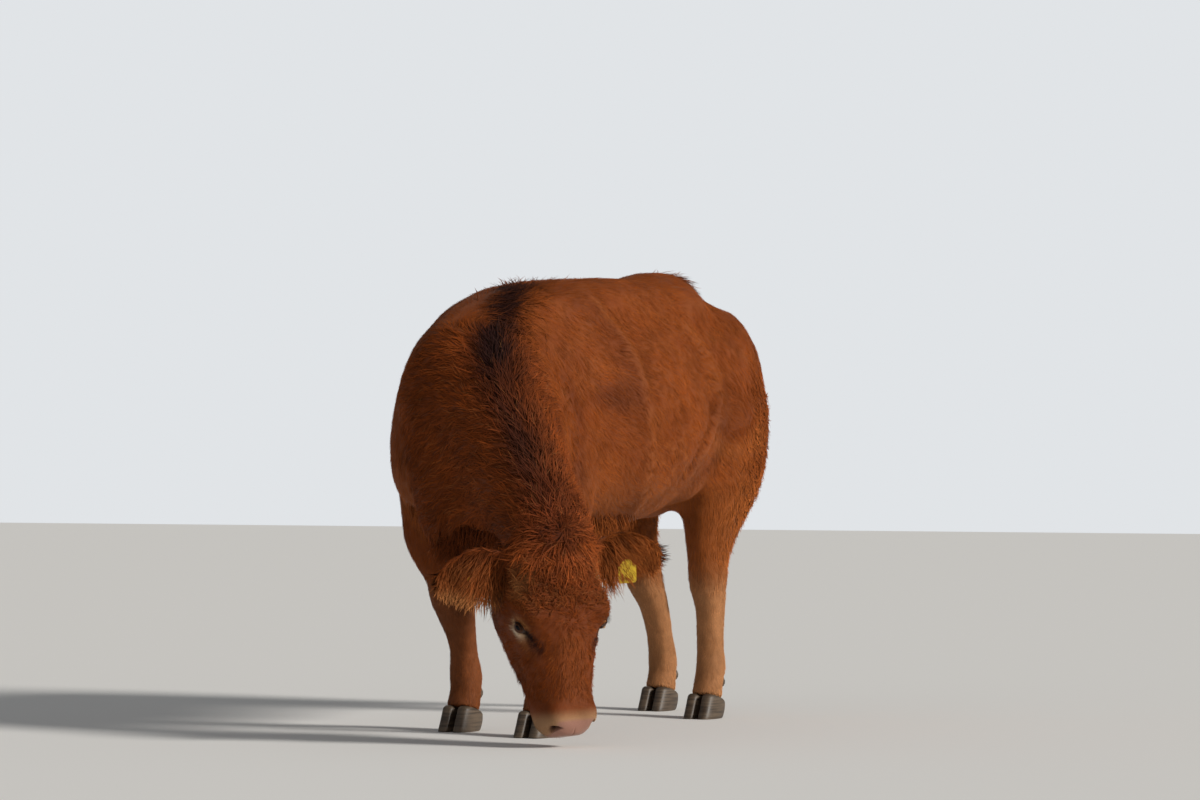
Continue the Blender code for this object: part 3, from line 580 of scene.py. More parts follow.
def face_relief(spots, normals, weights):
    """Moves the head's skin for bones, nostrils and lips; returns bare skin, nostrils and mouth."""
    local = in_head(spots)
    x, _, z = local.T
    face = share_of(weights, "muzzle", "chin", "head", "lower_jaw")
    forms = sum(height * mound(local, spot, size) for height, spot, size in FACE_FORMS)
    snout = face * ramp(z, -0.30, -0.36)
    pit = nostril_pit(local) * snout
    line = (local - MOUTH_POINT) @ MOUTH_NORMAL
    mouth = bell(line, 0.0028) * ramp(z, -0.385, -0.415) * snout
    lip = bell(line - 0.009, 0.006) * ramp(z, -0.40, -0.45) * snout
    cleft = bell(x, 0.0022) * ramp(z, -0.525, -0.540) * ramp(line, 0.002, -0.006) * snout
    rise = forms * face - 0.019 * pit - 0.0045 * mouth + 0.0016 * lip - 0.002 * cleft
    spots = spots + normals * rise[:, None]
    bare = ramp(z, -0.500, -0.514) * ramp(line, 0.002, -0.006) * ramp(abs(x), 0.064, 0.050) * snout
    return spots, np.clip(np.maximum(bare, pit), 0, 1), pit, mouth


def trunk_relief(spots, normals, weights):
    """How far the body's skin stands out for muscle edges, folds and ribs."""
    cow = body_space(spots)
    _, y, z = cow.T
    flank = ramp(abs(normals[:, 0]), 0.25, 0.60)
    flank = flank * share_of(weights, "trunk", "thigh", "forearm", "neck")
    height = sum(rise * side_line(cow, *form) for rise, *form in SIDE_FORMS)
    chest = ramp(y, 0.44, 0.50) * ramp(y, 0.80, 0.70) * ramp(z, 0.64, 0.76) * ramp(z, 1.20, 1.05)
    height += 0.0011 * np.sin((y + 0.25 * z) / 0.062 * math.tau) * chest
    height += 0.0018 * ripple(spots, 0.24, 21)
    return height * flank


def make_skin():
    mesh = refined(thinned(smoothed(fused_flesh())))
    weights = region_weights(mesh)
    spots, normals = points_of(mesh), normals_of(mesh)
    depth = weights @ np.array([COAT[name][1] for name in REGIONS])
    depth = depth + 0.006 * crest_line(spots)
    spots = spots + normals * (trunk_relief(spots, normals, weights) - depth)[:, None]
    set_points(mesh, spots)
    spots, bare, pit, mouth = face_relief(spots, normals_of(mesh), weights)
    spots = lids(spots)
    set_points(mesh, spots)
    normals = normals_of(mesh)
    for side in SIDES:
        ahead, forward, up, _ = almond(spots, side)
        trough = tear_line(forward, up, 0.0070) * ramp(forward, 0.018, 0.028)
        trough = trough * ramp(forward, 0.095, 0.050) * (abs(ahead) < 0.07)
        spots = spots - normals * (0.0040 * trough)[:, None]
    set_points(mesh, spots)
    return mesh, weights, bare, pit, mouth


# Colours ---------------------------------------------------------------------------------

def mix(colour, other, share):
    return colour + (other - colour) * np.clip(share, 0, 1)[:, None]


def body_marks(spots, part, broken):
    """Layers of colour on the trunk, neck, legs and tail, each a colour and its share, some of them painted
    highlights and painted shade along the muscles and folds.
    """
    cow = body_space(spots)
    side, back, height = cow.T
    offset, _, along = line_place(spots + BAND_SHIFT, CREST)
    band = near(offset, 0.043) * ramp(along, 0.02, 0.08) * (1.30 - 0.50 * ramp(along, 0.42, 0.60))
    hind, flank = ramp(back, 0.2, 0.5), part("trunk", "thigh")
    rump = bell(side, 0.05) * ramp(back, 1.08, 1.22) * ramp(height, 1.20, 1.30)
    patch = (cow - np.array((0.34, 0.25, 0.99))) / np.array((0.2, 0.11, 0.07))
    # a painted highlight in broken patches low on the flank
    flank_highlight = bell(np.hypot((back - 0.62) / 0.17, (height - 0.81) / 0.07), 1.0)
    flank_highlight = flank_highlight * ramp(ripple(spots, 0.04, 33), 0.2, 1.4)
    return [
        (LIGHT, part("thigh") * ramp(height, 0.88, 0.66) * 0.8),
        (LIGHT, part("forearm") * ramp(height, 0.66, 0.48) * 0.2),
        (FAWN, part("shank", "pastern") * (0.25 + 0.60 * hind)),
        (UMBER, part("forearm", "shank", "pastern") * (1 - hind) * 0.35),
        (LIGHT, part("trunk") * ramp(height, 0.82, 0.66) * 0.6),
        (LIGHT, flank * broken * 0.25),
        (UMBER, part("neck") * (0.25 + 0.3 * broken)),
        (DARK, band),
        # painted highlights and painted shade along the muscle edges and folds
        *((tint, side_line(cow, *line) * flank * share) for tint, share, *line in SIDE_LIGHT_AND_SHADE),
        # painted shade beside the groove between neck and shoulder
        (UMBER, side_line(cow, NECK_GROOVE, 0.040, 0.030) * 0.50),
        (DARK, rump * 0.8),
        (UMBER * 0.9, ramp(np.linalg.norm(patch, axis=1), 1.1, 0.3) * 0.7),
        # the painted highlight on the flank
        (LIGHT * 1.15, flank_highlight * flank * 0.8),
        (DARK, part("tail_switch") * 0.75),
        (UMBER, part("tail") * 0.3),
    ]


def head_marks(spots, part, broken):
    """Layers of colour on the face and ears, the left ear painted lighter than the right as painted light.
    """
    x, y, z = in_head(spots).T
    face, ear = part(*FACE), part("ear")
    left_ear = ear * (x > 0.09)
    drop = dot(spots - POLL, DOWN)
    temple = np.stack([abs(x) - 0.112, y + 0.055, (z + 0.112) * 0.6], 1)
    bridge = bell(x, 0.05) * ramp(y, -0.10, -0.02) * ramp(z, -0.24, -0.30)
    return [
        (UMBER, face * (0.38 + ramp(z, -0.26, -0.10) * (0.10 + 0.35 * broken))),
        (LIGHT, face * bridge * 0.20),
        (SAND, face * near(temple, 0.026) * 0.6),
        (UMBER, part("lower_jaw") * 0.45),
        # the left ear, on the key lamp's side, is painted less dark and lighter than the right: painted
        # light
        (UMBER, ear * (0.40 + 0.35 * ramp(drop, 0.12, -0.02)) * (1 - 0.6 * left_ear)),
        (LIGHT, left_ear * 0.45),
        (SAND, ear * ramp(drop, 0.115, 0.165) * 0.55),
        (BUFF, face * ramp(z, -0.470, -0.510) * 0.55),
    ]


def eye_marks(spots, side):
    """Layers of colour round one eye: a pale ring, a spot below it, and the dark tear line."""
    ahead, forward, up, _ = almond(spots, side)
    ring = bell(np.hypot(forward / 1.25, up) - 0.0190, 0.0080) * (ahead > -0.02) * (ahead < 0.05)
    pale = bell(np.hypot((forward + 0.002) / 1.7, up + 0.0225), 0.0105)
    tear = tear_line(forward, up, 0.0120) * ramp(forward, 0.014, 0.022)
    tear = tear * ramp(forward, 0.105, 0.065)
    cheek = bell(up + 0.024 + 0.20 * forward, 0.012) * bell(forward - 0.020, 0.030)
    return [
        (BUFF, ring * ramp(up, 0.010, -0.004) * 0.9),
        (CREAM, pale * (ahead > -0.03) * (ahead < 0.05) * 1.3),
        (SAND, ring * ramp(up, 0.000, 0.016) * 0.7),
        (DARK, tear * (abs(ahead) < 0.07) * 1.2),
        (SAND, cheek * (abs(ahead) < 0.06) * 0.40),
    ]


def markings(spots, weights, bare, pit):
    """The coat's colour at points of the skin, from where on the cow they are, with some light and shade
    painted in.
    """
    def part(*names):
        return share_of(weights, *names)

    broken = 0.5 + 0.5 * np.tanh(1.2 * ripple(spots, 0.07, 3))
    layers = body_marks(spots, part, broken) + head_marks(spots, part, broken)
    for side in SIDES:
        layers += eye_marks(spots, side)
    rim = lid_rim(spots, 0.0040)
    layers.append((DARK * 0.4, rim))
    for side in SIDES:
        lower = ramp(almond(spots, side)[2], -0.0040, -0.0080)
        at_eye = np.linalg.norm(spots - EYE_SPOTS[side], axis=1) < 0.04
        layers.append((PINK * 0.7, rim * lower * at_eye * 0.7))
    # the bare nose is pink; the nostrils are painted dark by their depth, as painted shade inside them
    layers += [(PINK, bare), (DARK * 0.35, pit * 0.9)]
    colour = np.tile(RUSSET, (len(spots), 1))
    for tint, share in layers:
        colour = mix(colour, tint, share)
    return colour


# Lie of the coat -------------------------------------------------------------------------

def trunk_lie(spots, normals):
    side, back, _ = body_space(spots).T
    flank, top = abs(normals[:, 0]), np.clip(normals[:, 2], 0, 1)
    fore, hind = ramp(back, 0.30, -0.10), ramp(back, 0.95, 1.20)
    return np.stack([
        0.35 * np.sign(side) * top, 0.85 - 0.45 * fore - 0.5 * hind * flank,
        -0.12 - (0.50 + 0.5 * fore + 0.4 * hind) * flank,
    ], 1)


def neck_lie(spots, normals):
    """Back from the poll, and out to both sides of the crest, then down."""
    offset, run, _ = line_place(spots, CREST)
    gap = np.linalg.norm(offset, axis=1)
    sideways = unit(np.cross(run, normals))
    share = np.tanh(dot(offset, sideways) / 0.02)
    return -run + sideways * share[:, None] * 0.85 + DOWN * ramp(gap, 0.08, 0.24)[:, None] * 0.9


def head_lie(spots, normals):
    """Round a whorl on the forehead, down from the poll, and away from the lids."""
    local = in_head(spots)
    fall = np.stack([local[:, 0] / 0.09, 0 * local[:, 0], -np.ones(len(local))], 1)
    top = ramp(local[:, 2], -0.150, -0.080)[:, None]
    lie = (unit(local - WHORL) * (1 - top) + fall * top) @ HEAD_AXES
    lie = lie + 0.7 * np.cross(normals, lie) * near(local - WHORL, 0.05)[:, None]
    for spot in EYE_SPOTS.values():
        lie += unit(spots - spot) * 1.8 * near(spots - spot, 0.034)[:, None]
    return lie


def ear_lie(spots):
    """A fan from the upper corner of each ear's root, falling a little."""
    local = in_head(spots)
    lie = np.empty_like(spots)
    for sign in SIDES.values():
        here = local[:, 0] * sign > 0
        lie[here] = unit(spots[here] - from_head((sign * 0.080, -0.115, 0.005)))
    return lie + DOWN * 0.22


def lie_of(spots, normals, weights):
    """The way the hair points at every vertex, tangent to the skin."""
    ones = np.ones((len(spots), 1))
    over_poll = ramp(in_head(spots)[:, 2], -0.015, 0.030)[:, None]
    on_neck = neck_lie(spots, normals)
    fields = (
        (trunk_lie(spots, normals), ("trunk",)),
        (on_neck, ("neck",)),
        (head_lie(spots, normals) * (1 - over_poll) + on_neck * over_poll, FACE),
        (ear_lie(spots), ("ear",)),
        (ones * (0, 0.22, -1), ("forearm", "thigh", "shank", "pastern")),
        (ones * (0, -0.05, -1), ("tail", "tail_switch")),
    )
    field = sum(unit(lie) * share_of(weights, *names)[:, None] for lie, names in fields)
    field -= normals * dot(field, normals)[:, None]
    return unit(field)


# Tufts -----------------------------------------------------------------------------------

class Skin:
    """The finished skin with what the coat reads off it at any point of a triangle."""

    def __init__(self, mesh, weights, bare, pit, mouth):
        self.mesh = mesh
        self.spots, self.normals = points_of(mesh), normals_of(mesh)
        self.corners = triangles_of(mesh)
        self.cow, self.local = body_space(self.spots), in_head(self.spots)
        self.weights = weights
        self.bare = bare
        self.tint = markings(self.spots, weights, bare, pit)
        self.lie = lie_of(self.spots, self.normals, weights)
        self.bald = np.clip(bare + lid_rim(self.spots, 0.0030) + pit + mouth * 0.5, 0, 1)
        self.tree = tree_of(self.spots, self.corners)
        a, b, c = self.spots[self.corners].transpose(1, 0, 2)
        self.area = np.linalg.norm(np.cross(b - a, c - a), axis=1) / 2

    def part(self, *names):
        return share_of(self.weights, *names)

    def at(self, values, triangle, share):
        if values.ndim > 1:
            share = share[..., None]
        return (values[self.corners[triangle]] * share).sum(axis=1)

    def scatter(self, density, seed):
        """Roots by density (per square metre at each vertex): triangles and corner shares."""
        rng = np.random.default_rng(seed)
        expected = self.area * density[self.corners].mean(axis=1)
        total = expected.sum()
        count = int(total)
        marks = (np.arange(count) + rng.random(count)) / max(count, 1) * total
        triangle = np.searchsorted(np.cumsum(expected), marks).clip(0, len(expected) - 1)
        first, second = rng.random(count), rng.random(count)
        flip = first + second > 1
        first[flip], second[flip] = 1 - first[flip], 1 - second[flip]
        return triangle, np.stack([1 - first - second, first, second], 1), rng

    def settle(self, spots):
        """The nearest point of the skin and its normal, for each spot."""
        found = [self.tree.find_nearest(Vector(p)) for p in spots]
        return np.array([f[0] for f in found]), np.array([f[1] for f in found])


def locks(centres, ups, across, widths, heights):
    """Closed three-sided tapered strips. centres is tufts x stations x 3; the last is the tip."""
    tufts, stations = centres.shape[:2]
    rings = stations - 1
    aside = across[:, :rings] * widths[:, :rings, None] / 2
    ridge = centres[:, :rings] + ups[:, :rings] * heights[:, :rings, None]
    ring = np.stack([centres[:, :rings] - aside, centres[:, :rings] + aside, ridge], 2)
    spots = np.concatenate([ring.reshape(tufts, rings * 3, 3), centres[:, rings:]], 1)
    per = rings * 3 + 1
    faces = [(2, 1, 0)]
    for k in range(rings - 1):
        for s in range(3):
            a, b = 3 * k + s, 3 * k + (s + 1) % 3
            faces += [(a + 3, a, b), (b + 3, a + 3, b)]
    last = 3 * (rings - 1)
    faces += [(per - 1, last + s, last + (s + 1) % 3) for s in range(3)]
    triangles = (np.arange(tufts)[:, None, None] * per + np.array(faces)).reshape(-1, 3)
    return spots.reshape(-1, 3), triangles, per


def turned(way, side, angle):
    return unit(way * np.cos(angle)[:, None] + side * np.sin(angle)[:, None])


def grow(skin, triangle, share, rng, length, width, lift, curl, stations, wander, hug=True, lie=None):
    """Tufts from roots on the skin: centre lines that follow the lie and hug the skin."""
    root = skin.at(skin.spots, triangle, share)
    normal = unit(skin.at(skin.normals, triangle, share))
    way = unit(skin.at(skin.lie, triangle, share)) if lie is None else lie
    count = len(root)
    swing = 0.10 * rng.normal(0, 1, count) + 0.16 * ripple(root, 0.13, 5) + wander * ripple(root, 0.026, 6)
    way = turned(way, np.cross(normal, way), swing)
    bend = curl * rng.choice([-1.0, 1.0], count) * rng.uniform(0.4, 1.2, count) / (stations - 1)
    step = length / (stations - 1)
    centres, ups, ways = [root - normal * 0.0012], [normal], [way]
    for k in range(1, stations):
        share_up = k / (stations - 1)
        ahead = centres[-1] + way * step[:, None]
        if hug:
            on, up = skin.settle(ahead)
            up = unit(up + normal * 0.6)
            ahead = on + up * (lift * length * share_up ** 1.3 + 0.0006)[:, None]
        else:
            up = ups[-1]
            ahead = ahead + up * (lift * step)[:, None] * (1 - share_up)
        way = unit(ahead - centres[-1])
        side = np.cross(up, way)
        up = unit(np.cross(way, side))
        way = turned(way, side, bend)
        centres.append(ahead)
        ups.append(up)
        ways.append(way)
    ups[0] = unit(normal - ways[0] * dot(normal, ways[0])[:, None] + 1e-4 * ups[1])
    centres, ups, ways = (np.stack(values, 1) for values in (centres, ups, ways))
    along = np.linspace(0, 1, stations)
    profile = np.where(along < 0.35, 0.75 + 0.7 * along, 1.0 - 0.55 * (along - 0.35) / 0.65)
    widths = width[:, None] * profile[None]
    return root, centres, ups, unit(np.cross(ups, ways)), widths, widths * THICK


class Unwrap:
    """A flat layout of a light copy of the skin, read by nearest point."""

    def __init__(self, mesh):
        ratio = min(1.0, LAYOUT_FACES / len(mesh.polygons))
        thin = ("DECIMATE", dict(ratio=ratio, use_collapse_triangulate=True))
        layout = add_object("layout", altered(mesh.copy(), thin))
        bpy.context.view_layer.objects.active = layout
        bpy.ops.object.select_all(action="DESELECT")
        layout.select_set(True)
        bpy.ops.object.mode_set(mode="EDIT")
        bpy.ops.mesh.select_all(action="SELECT")
        bpy.ops.uv.smart_project(angle_limit=math.radians(66), island_margin=0.006)
        bpy.ops.object.mode_set(mode="OBJECT")
        data = layout.data
        self.spots, self.corners = points_of(data), triangles_of(data)
        loops = read(data.loop_triangles, "loops", 3, np.int32)
        self.uv = read(data.uv_layers.active.uv, "vector", 2)[loops]
        self.tree = tree_of(self.spots, self.corners)
        bpy.data.objects.remove(layout)

    def at(self, spots):
        found = [self.tree.find_nearest(Vector(p)) for p in spots]
        on, index = np.array([f[0] for f in found]), np.array([f[2] for f in found])
        a, b, c = self.spots[self.corners[index]].transpose(1, 0, 2)
        whole = np.cross(b - a, c - a)
        size = np.maximum(dot(whole, whole), 1e-18)
        second = dot(np.cross(on - a, c - a), whole) / size
        third = dot(np.cross(b - a, on - a), whole) / size
        share = np.stack([1 - second - third, second, third], 1).clip(0, 1)
        return (self.uv[index] * share[:, :, None]).sum(axis=1)


class Coat:
    """Gathers tufts and turns them into pieces of limited size."""

    def __init__(self, skin, layout):
        self.skin, self.layout = skin, layout
        self.batches = {}

    def add(self, name, grown, tint, *shading):
        """Grown tufts with their colour, tone, tone at tip and base (the base painted darker, as shade deep
        in the coat), share of gold, and softness.
        """
        self.batches.setdefault((name, grown[1].shape[1]), []).append((*grown, tint, *shading))

    def build(self, material):
        """Pieces numbered within their name, each a stretch of the cow from front to back."""
        number = dict.fromkeys((name for name, _ in self.batches), 0)
        for (name, stations), batches in sorted(self.batches.items()):
            whole = [np.concatenate(part) for part in zip(*batches)]
            if len(whole[0]) < FEWEST_TUFTS:
                continue
            limit = MAX_FACES // (6 * (stations - 2) + 4)
            order = np.argsort(whole[0][:, 1], kind="stable")
            for chosen in np.array_split(order, math.ceil(len(order) / limit)):
                number[name] += 1
                label = "coat_%s_%d" % (name, number[name])
                self.piece(label, material, [values[chosen] for values in whole])

    def piece(self, label, material, batch):
        root, centres, ups, across, widths, heights, tint, tone, tip, base, gold, soft = batch
        tufts, stations = centres.shape[:2]
        spots, triangles, per = locks(centres, ups, across, widths, heights)
        mesh = mesh_from(label, spots, triangles)
        soft = soft[:, None, None]
        aside = across[:, :-1] * (ROUND * soft + 1 - soft)
        side = ups[:, :-1] * (1.5 * soft - 0.5)
        facing = unit(np.stack([side - aside, side + aside, ups[:, :-1]], 2))
        facing = np.concatenate([facing.reshape(tufts, per - 1, 3), ups[:, -1:]], 1)
        mesh.normals_split_custom_set_from_vertices(facing.reshape(-1, 3).tolist())
        along = np.append(np.repeat(np.linspace(0, 1, stations)[:-1], 3), 1.0)
        # each lock is painted darker towards its root, as painted shade deep in the coat, and lighter
        # towards its tip
        shade = tone[:, None] * (base[:, None] + (tip - base)[:, None] * along[None] ** 0.8)
        bleached = (gold[:, None] * along[None] ** 1.5)[..., None]
        colour = tint[:, None, :] * shade[..., None] * (1 - bleached) + SAND * bleached
        paint(mesh, colour.reshape(-1, 3))
        cross = np.append(np.tile([-1.0, 1.0, 0.0], stations - 1), 0.0)
        chance = (np.arange(tufts) * 0.618 % 7.0)[:, None]
        attach(mesh, "strand", np.stack(np.broadcast_arrays(cross, along, chance), -1))
        place = np.stack([cross * 0.5, along - 0.5], -1) * PATCH
        uv = (self.layout.at(root)[:, None, :] + place).reshape(-1, 2).clip(0, 1)
        mesh.uv_layers.new(name="OFBake")
        write(mesh.uv_layers["OFBake"].uv, "vector", uv[triangles.ravel()])
        piece(label, mesh, material, "coat")


def shades(rng, root, spread):
    """Tone of each lock: by chance, with soft patches."""
    tone = 1 + 0.06 * ripple(root, 0.045, 7) + 0.07 * ripple(root, 0.18, 8)
    return (tone + rng.normal(0, spread, len(root))).clip(0.45, 1.7)


def body_fields(skin):
    """Both kinds of lock (seed, stations, density), then length, width, lift, curl, wander, roughness."""
    _, back, height = skin.cow.T
    _, y, z = skin.local.T
    table = np.array([COAT[name][2:] for name in REGIONS])
    density, length, width, lift, curl = (skin.weights @ table).T
    crest = crest_line(skin.spots)
    haunch = skin.part("thigh", "trunk") * ramp(back, 1.02, 1.22) * ramp(height, 1.15, 0.95)
    brow = skin.part("head") * ramp(z, -0.22, -0.15) * ramp(y, -0.12, -0.05)
    eyes = np.max([near(skin.spots - spot, 0.045) for spot in EYE_SPOTS.values()], axis=0)
    fine = skin.part("head") * eyes
    length = length * (1 + 0.5 * crest) * (1 + 0.9 * brow) * (1 - 0.6 * fine)
    width = width * (1 + 0.5 * brow) * (1 - 0.4 * fine)
    lift = lift + 0.08 * haunch + 0.05 * crest + 0.08 * brow
    curl = curl + 2.2 * haunch + 0.9 * brow
    bent = np.clip(skin.part(*CURLY) + brow + haunch, 0, 1)
    wander = 0.10 + 0.18 * bent + 0.55 * brow + 0.22 * skin.part("head")
    rough = 0.20 + 0.40 * bent + 0.45 * skin.part("head", "lower_jaw") * (1 - brow)
    density = density * (1 - skin.bald)
    kinds = ((11, 3, density * bent * (1 - 0.45 * brow)), (12, 2, density * (1 - bent)))
    return kinds, (length, width, lift, curl, wander, rough)


def body_coat(coat, share_made):
    """The coat all over: bent locks where it is long, and spikes elsewhere."""
    skin = coat.skin
    kinds, fields = body_fields(skin)
    for seed, stations, density in kinds:
        triangle, share, rng = skin.scatter(density * share_made, seed)
        count = len(triangle)
        root = skin.at(skin.spots, triangle, share)
        length, width, lift, curl, wander, rough = (skin.at(v, triangle, share) for v in fields)
        length = length * rng.uniform(0.75, 1.25, count) * (1 + 0.15 * ripple(root, 0.05, 9)).clip(0.5, 1.6)
        width = width * rng.uniform(0.7, 1.3, count)
        lift = lift * (1 + rough * ripple(root, 0.03, 10)).clip(0.1, 2.5)
        grown = grow(skin, triangle, share, rng, length, width, lift, curl, stations, wander)
        tone = shades(rng, root, 0.10 + 0.15 * rough)
        tip = rng.uniform(1.0, 1.0 + 0.3 * rough, count)
        gold = np.where(rng.random(count) < 0.10 * rough, 0.30, 0.0)
        tint = skin.at(skin.tint, triangle, share)
        # rougher hair gets darker roots: painted shade deep in the coat
        values = (tint, tone, tip, 0.90 - 0.45 * rough, gold, np.ones(count))
        region = skin.weights[skin.corners[triangle, 0]].argmax(axis=1)
        names = np.array([COAT[name][0] for name in REGIONS])[region]
        for name in sorted(set(names)):
            chosen = names == name
            coat.add(name, [g[chosen] for g in grown], *(v[chosen] for v in values))


def long_grounds(skin):
    """Where each kind of longer lock grows, 0 to 1 at every vertex, and how long it is."""
    x, y, z = skin.local.T
    side, back, height = skin.cow.T
    up = skin.normals[:, 2]
    part = skin.part
    head, rear = part("head", "neck"), part("thigh", "trunk")
    facing, under = ramp(skin.normals @ HEAD_AXES[1], -0.1, 0.4), ramp(up, 0.2, -0.4)
    forelock = head * ramp(z, -0.055, -0.025) * ramp(z, 0.055, 0.025)
    forelock = forelock * ramp(abs(x), 0.11, 0.07) * ramp(y, -0.16, -0.09)
    forehead = head * ramp(z, -0.205, -0.185) * ramp(z, -0.04, -0.06)
    forehead = forehead * ramp(abs(x), 0.14, 0.11) * ramp(y, -0.14, -0.08)
    socket = part("head") * near(np.stack([abs(x) - 0.118, y + 0.010, z + 0.222], 1), 0.026)
    low, high = corners_of("ear_tag_left")
    high[2] = (low[2] + high[2]) / 2
    by_tag = np.all((skin.spots > low - 0.012) & (skin.spots < high + (0.012, 0.012, 0)), axis=1)
    ear, run = part("ear") * ~by_tag, ear_run(skin.spots)
    above_button = sum(corners_of("ear_tag_right")) / 2 + (0, 0, 0.012)
    button = ear * facing * near(skin.spots - above_button, 0.022)
    rump = bell(side, 0.045) * ramp(back, 1.05, 1.20) * ramp(height, 1.24, 1.31)
    haunch = rear * ramp(back, 1.06, 1.20) * ramp(height, 1.02, 0.90) * ramp(height, 0.58, 0.66)
    brisket = part("trunk", "neck") * ramp(up + 0.25 * ramp(back, 0.05, 0.25), -0.50, -0.75)
    brisket = brisket * ramp(back, 0.58, 0.46) * ramp(height, 0.70, 0.62)
    return {
        "crest": (crest_line(skin.spots) ** 1.5, 0.080),
        "poll": (forelock, 0.105),
        "crown": (near(skin.spots - CREST[-1], 0.030), 0.060),
        "whorl": (near(skin.local - WHORL, 0.020), 0.018),
        "brow": (forehead, 0.036),
        "socket": (socket, 0.018),
        "fringe": (ear * facing, 0.060 - 0.030 * run),
        "button": (button, 0.045),
        "rim": (ear * under, 0.034 + 0.050 * bell(run - 0.30, 0.25)),
        "tip": (ear * ramp(run, 0.70, 0.90), 0.034),
        "tailhead": (rump, 0.070),
        "haunch": (haunch, 0.034),
        "brisket": (brisket, 0.020 + 0.048 * ramp(back, 0.60, 0.42)),
        "coronet": (part("pastern") * ramp(height, 0.105, 0.085), 0.034),
    }


def long_coat(coat, share_made):
    """Longer locks: crest, forelock, forehead curls, ear fringe, tail head and coronets."""
    skin = coat.skin
    grounds = long_grounds(skin)
    for seed, (name, row) in enumerate(LONG_COAT.items(), LONG_SEED):
        per_metre, width, lift, curl, stations, wander, tone, wisps, base, tip, gold, stands = row
        ground, length = grounds[name]
        triangle, share, rng = skin.scatter(ground * per_metre * (1 - skin.bald) * share_made, seed)
        count = len(triangle)
        root, normal, lie, reach, tint = (
            skin.at(values, triangle, share) for values in
            (skin.spots, skin.normals, skin.lie, np.broadcast_to(length, len(skin.spots)), skin.tint)
        )
        if stands == "down":
            lie = 0.55 * lie + 0.20 * normal + DOWN * rng.uniform(0.4, 0.9, (count, 1))
        elif stands == "up":
            lie = lie + 0.10 * normal - DOWN * rng.uniform(0.1, 0.5, (count, 1))
        grown = grow(
            skin, triangle, share, rng, reach * rng.uniform(0.55, 1.2, count),
            width * rng.uniform(0.6, 1.3, count), lift * rng.uniform(0.4, 1.6, count),
            np.full(count, curl), stations, wander, hug=not stands, lie=unit(lie),
        )
        shy = np.where(in_head(root)[:, 0] > 0.09, 0.7, 1.0)
        shy = shy * (0.4 + 1.2 * ramp(dot(root - POLL, DOWN), 0.10, 0.16))
        tones = tone * shades(rng, root, 0.13) * np.where(rng.random(count) < wisps, 1.5, 1.0)
        tips = tip * rng.uniform(0.8, 1.15, count)
        golds = np.minimum(gold * shy, 0.85) * rng.uniform(0.3, 1.0, count)
        soft = np.full(count, 0.0 if stands == "down" else 1.0)
        coat.add(name, grown, tint, tones, tips, np.full(count, base), golds, soft)


def lashes(coat):
    """A row of dark lashes along each upper lid, curving out and down."""
    rng = np.random.default_rng(71)
    for side in SIDES:
        gaze, slit, up = eye_axes(side)
        run = np.linspace(-0.80, 0.72, 34)
        count = len(run)
        flat = np.stack([run * SLIT_HALF, (UPPER_LID + 0.0012) * (1 - run ** 2)], 1) @ np.stack([slit, up])
        reach = np.sqrt(np.clip((EYE_RADIUS + 0.0036) ** 2 - (flat ** 2).sum(axis=1), 1e-6, None))
        root = EYE_SPOTS[side] + flat + reach[:, None] * gaze
        length = (0.015 * (1 - 0.45 * run ** 2) * rng.uniform(0.8, 1.15, count))[:, None]
        fan = run[:, None] * 0.5 * slit + rng.normal(0, 0.05, (count, 3))
        first, second = unit(gaze + 0.25 * up + fan), unit(gaze - 0.45 * up + fan)
        bend = root + first * length * 0.45
        tip = bend + second * length * 0.55
        over = unit(np.cross(slit, first))
        ups, across = (np.repeat(v[:, None], 3, axis=1) for v in (over, unit(np.cross(over, first))))
        widths = np.tile((0.0009, 0.0007, 0.0), (count, 1))
        grown = (root, np.stack([root - first * 0.002, bend, tip], 1), ups, across, widths, widths * 0.6)
        ones = np.ones(count)
        coat.add("lashes", grown, np.tile(DARK * 0.5, (count, 1)), ones, ones, ones, ones * 0, ones)


# Materials -------------------------------------------------------------------------------

class Material:
    """A Principled material, and the kinds of node that the looks are made of."""

    def __init__(self, name, roughness, specular):
        self.made = bpy.data.materials.new(name)
        self.made.use_nodes = True
        self.tree = self.made.node_tree
        self.look({"Roughness": roughness, "Specular IOR Level": specular})
        self.place = self.node("TexCoord", {})["Object"]

    def fill(self, inputs, values):
        """Gives inputs either another node's output or a plain value."""
        for key, value in values.items():
            if isinstance(value, bpy.types.NodeSocket):
                self.tree.links.new(value, inputs[key])
            else:
                inputs[key].default_value = value

    def look(self, values):
        self.fill(self.tree.nodes["Principled BSDF"].inputs, values)

    def node(self, kind, values, **settings):
        made = self.tree.nodes.new("ShaderNode" + kind)
        for key, value in settings.items():
            setattr(made, key, value)
        self.fill(made.inputs, values)
        return made.outputs

    def attribute(self, name, output):
        return self.node("Attribute", {}, attribute_name=name)[output]

    def noise(self, vector, scale, detail=3.0):
        return self.node("TexNoise", {"Vector": vector, "Scale": scale, "Detail": detail})["Fac"]

    def stretched(self, vector, scale):
        return self.node("Mapping", {"Vector": vector, "Scale": scale})[0]

    def remap(self, value, low, high):
        return self.node("MapRange", {"Value": value, "To Min": low, "To Max": high})["Result"]

    def multiply(self, *values):
        result = values[0]
        for value in values[1:]:
            result = self.node("Math", {0: result, 1: value}, operation="MULTIPLY")[0]
        return result

    def scaled(self, colour, value):
        return self.node("VectorMath", {0: colour, "Scale": value}, operation="SCALE")[0]

    def blend(self, kind, share, first, second):
        return self.node("Mix", {"Factor": share, "A": first, "B": second}, data_type=kind)["Result"]

    def graded(self, value, *stops):
        """A colour between two stops, each a place on the value and its colour."""
        made = self.tree.nodes.new("ShaderNodeValToRGB")
        for element, (spot, colour) in zip(made.color_ramp.elements, stops):
            element.position, element.color = spot, colour
        self.fill(made.inputs, {"Fac": value})
        return made.outputs["Color"]

    def bump(self, height, strength, distance):
        values = {"Height": height, "Strength": strength, "Distance": distance}
        self.look({"Normal": self.node("Bump", values)[0]})


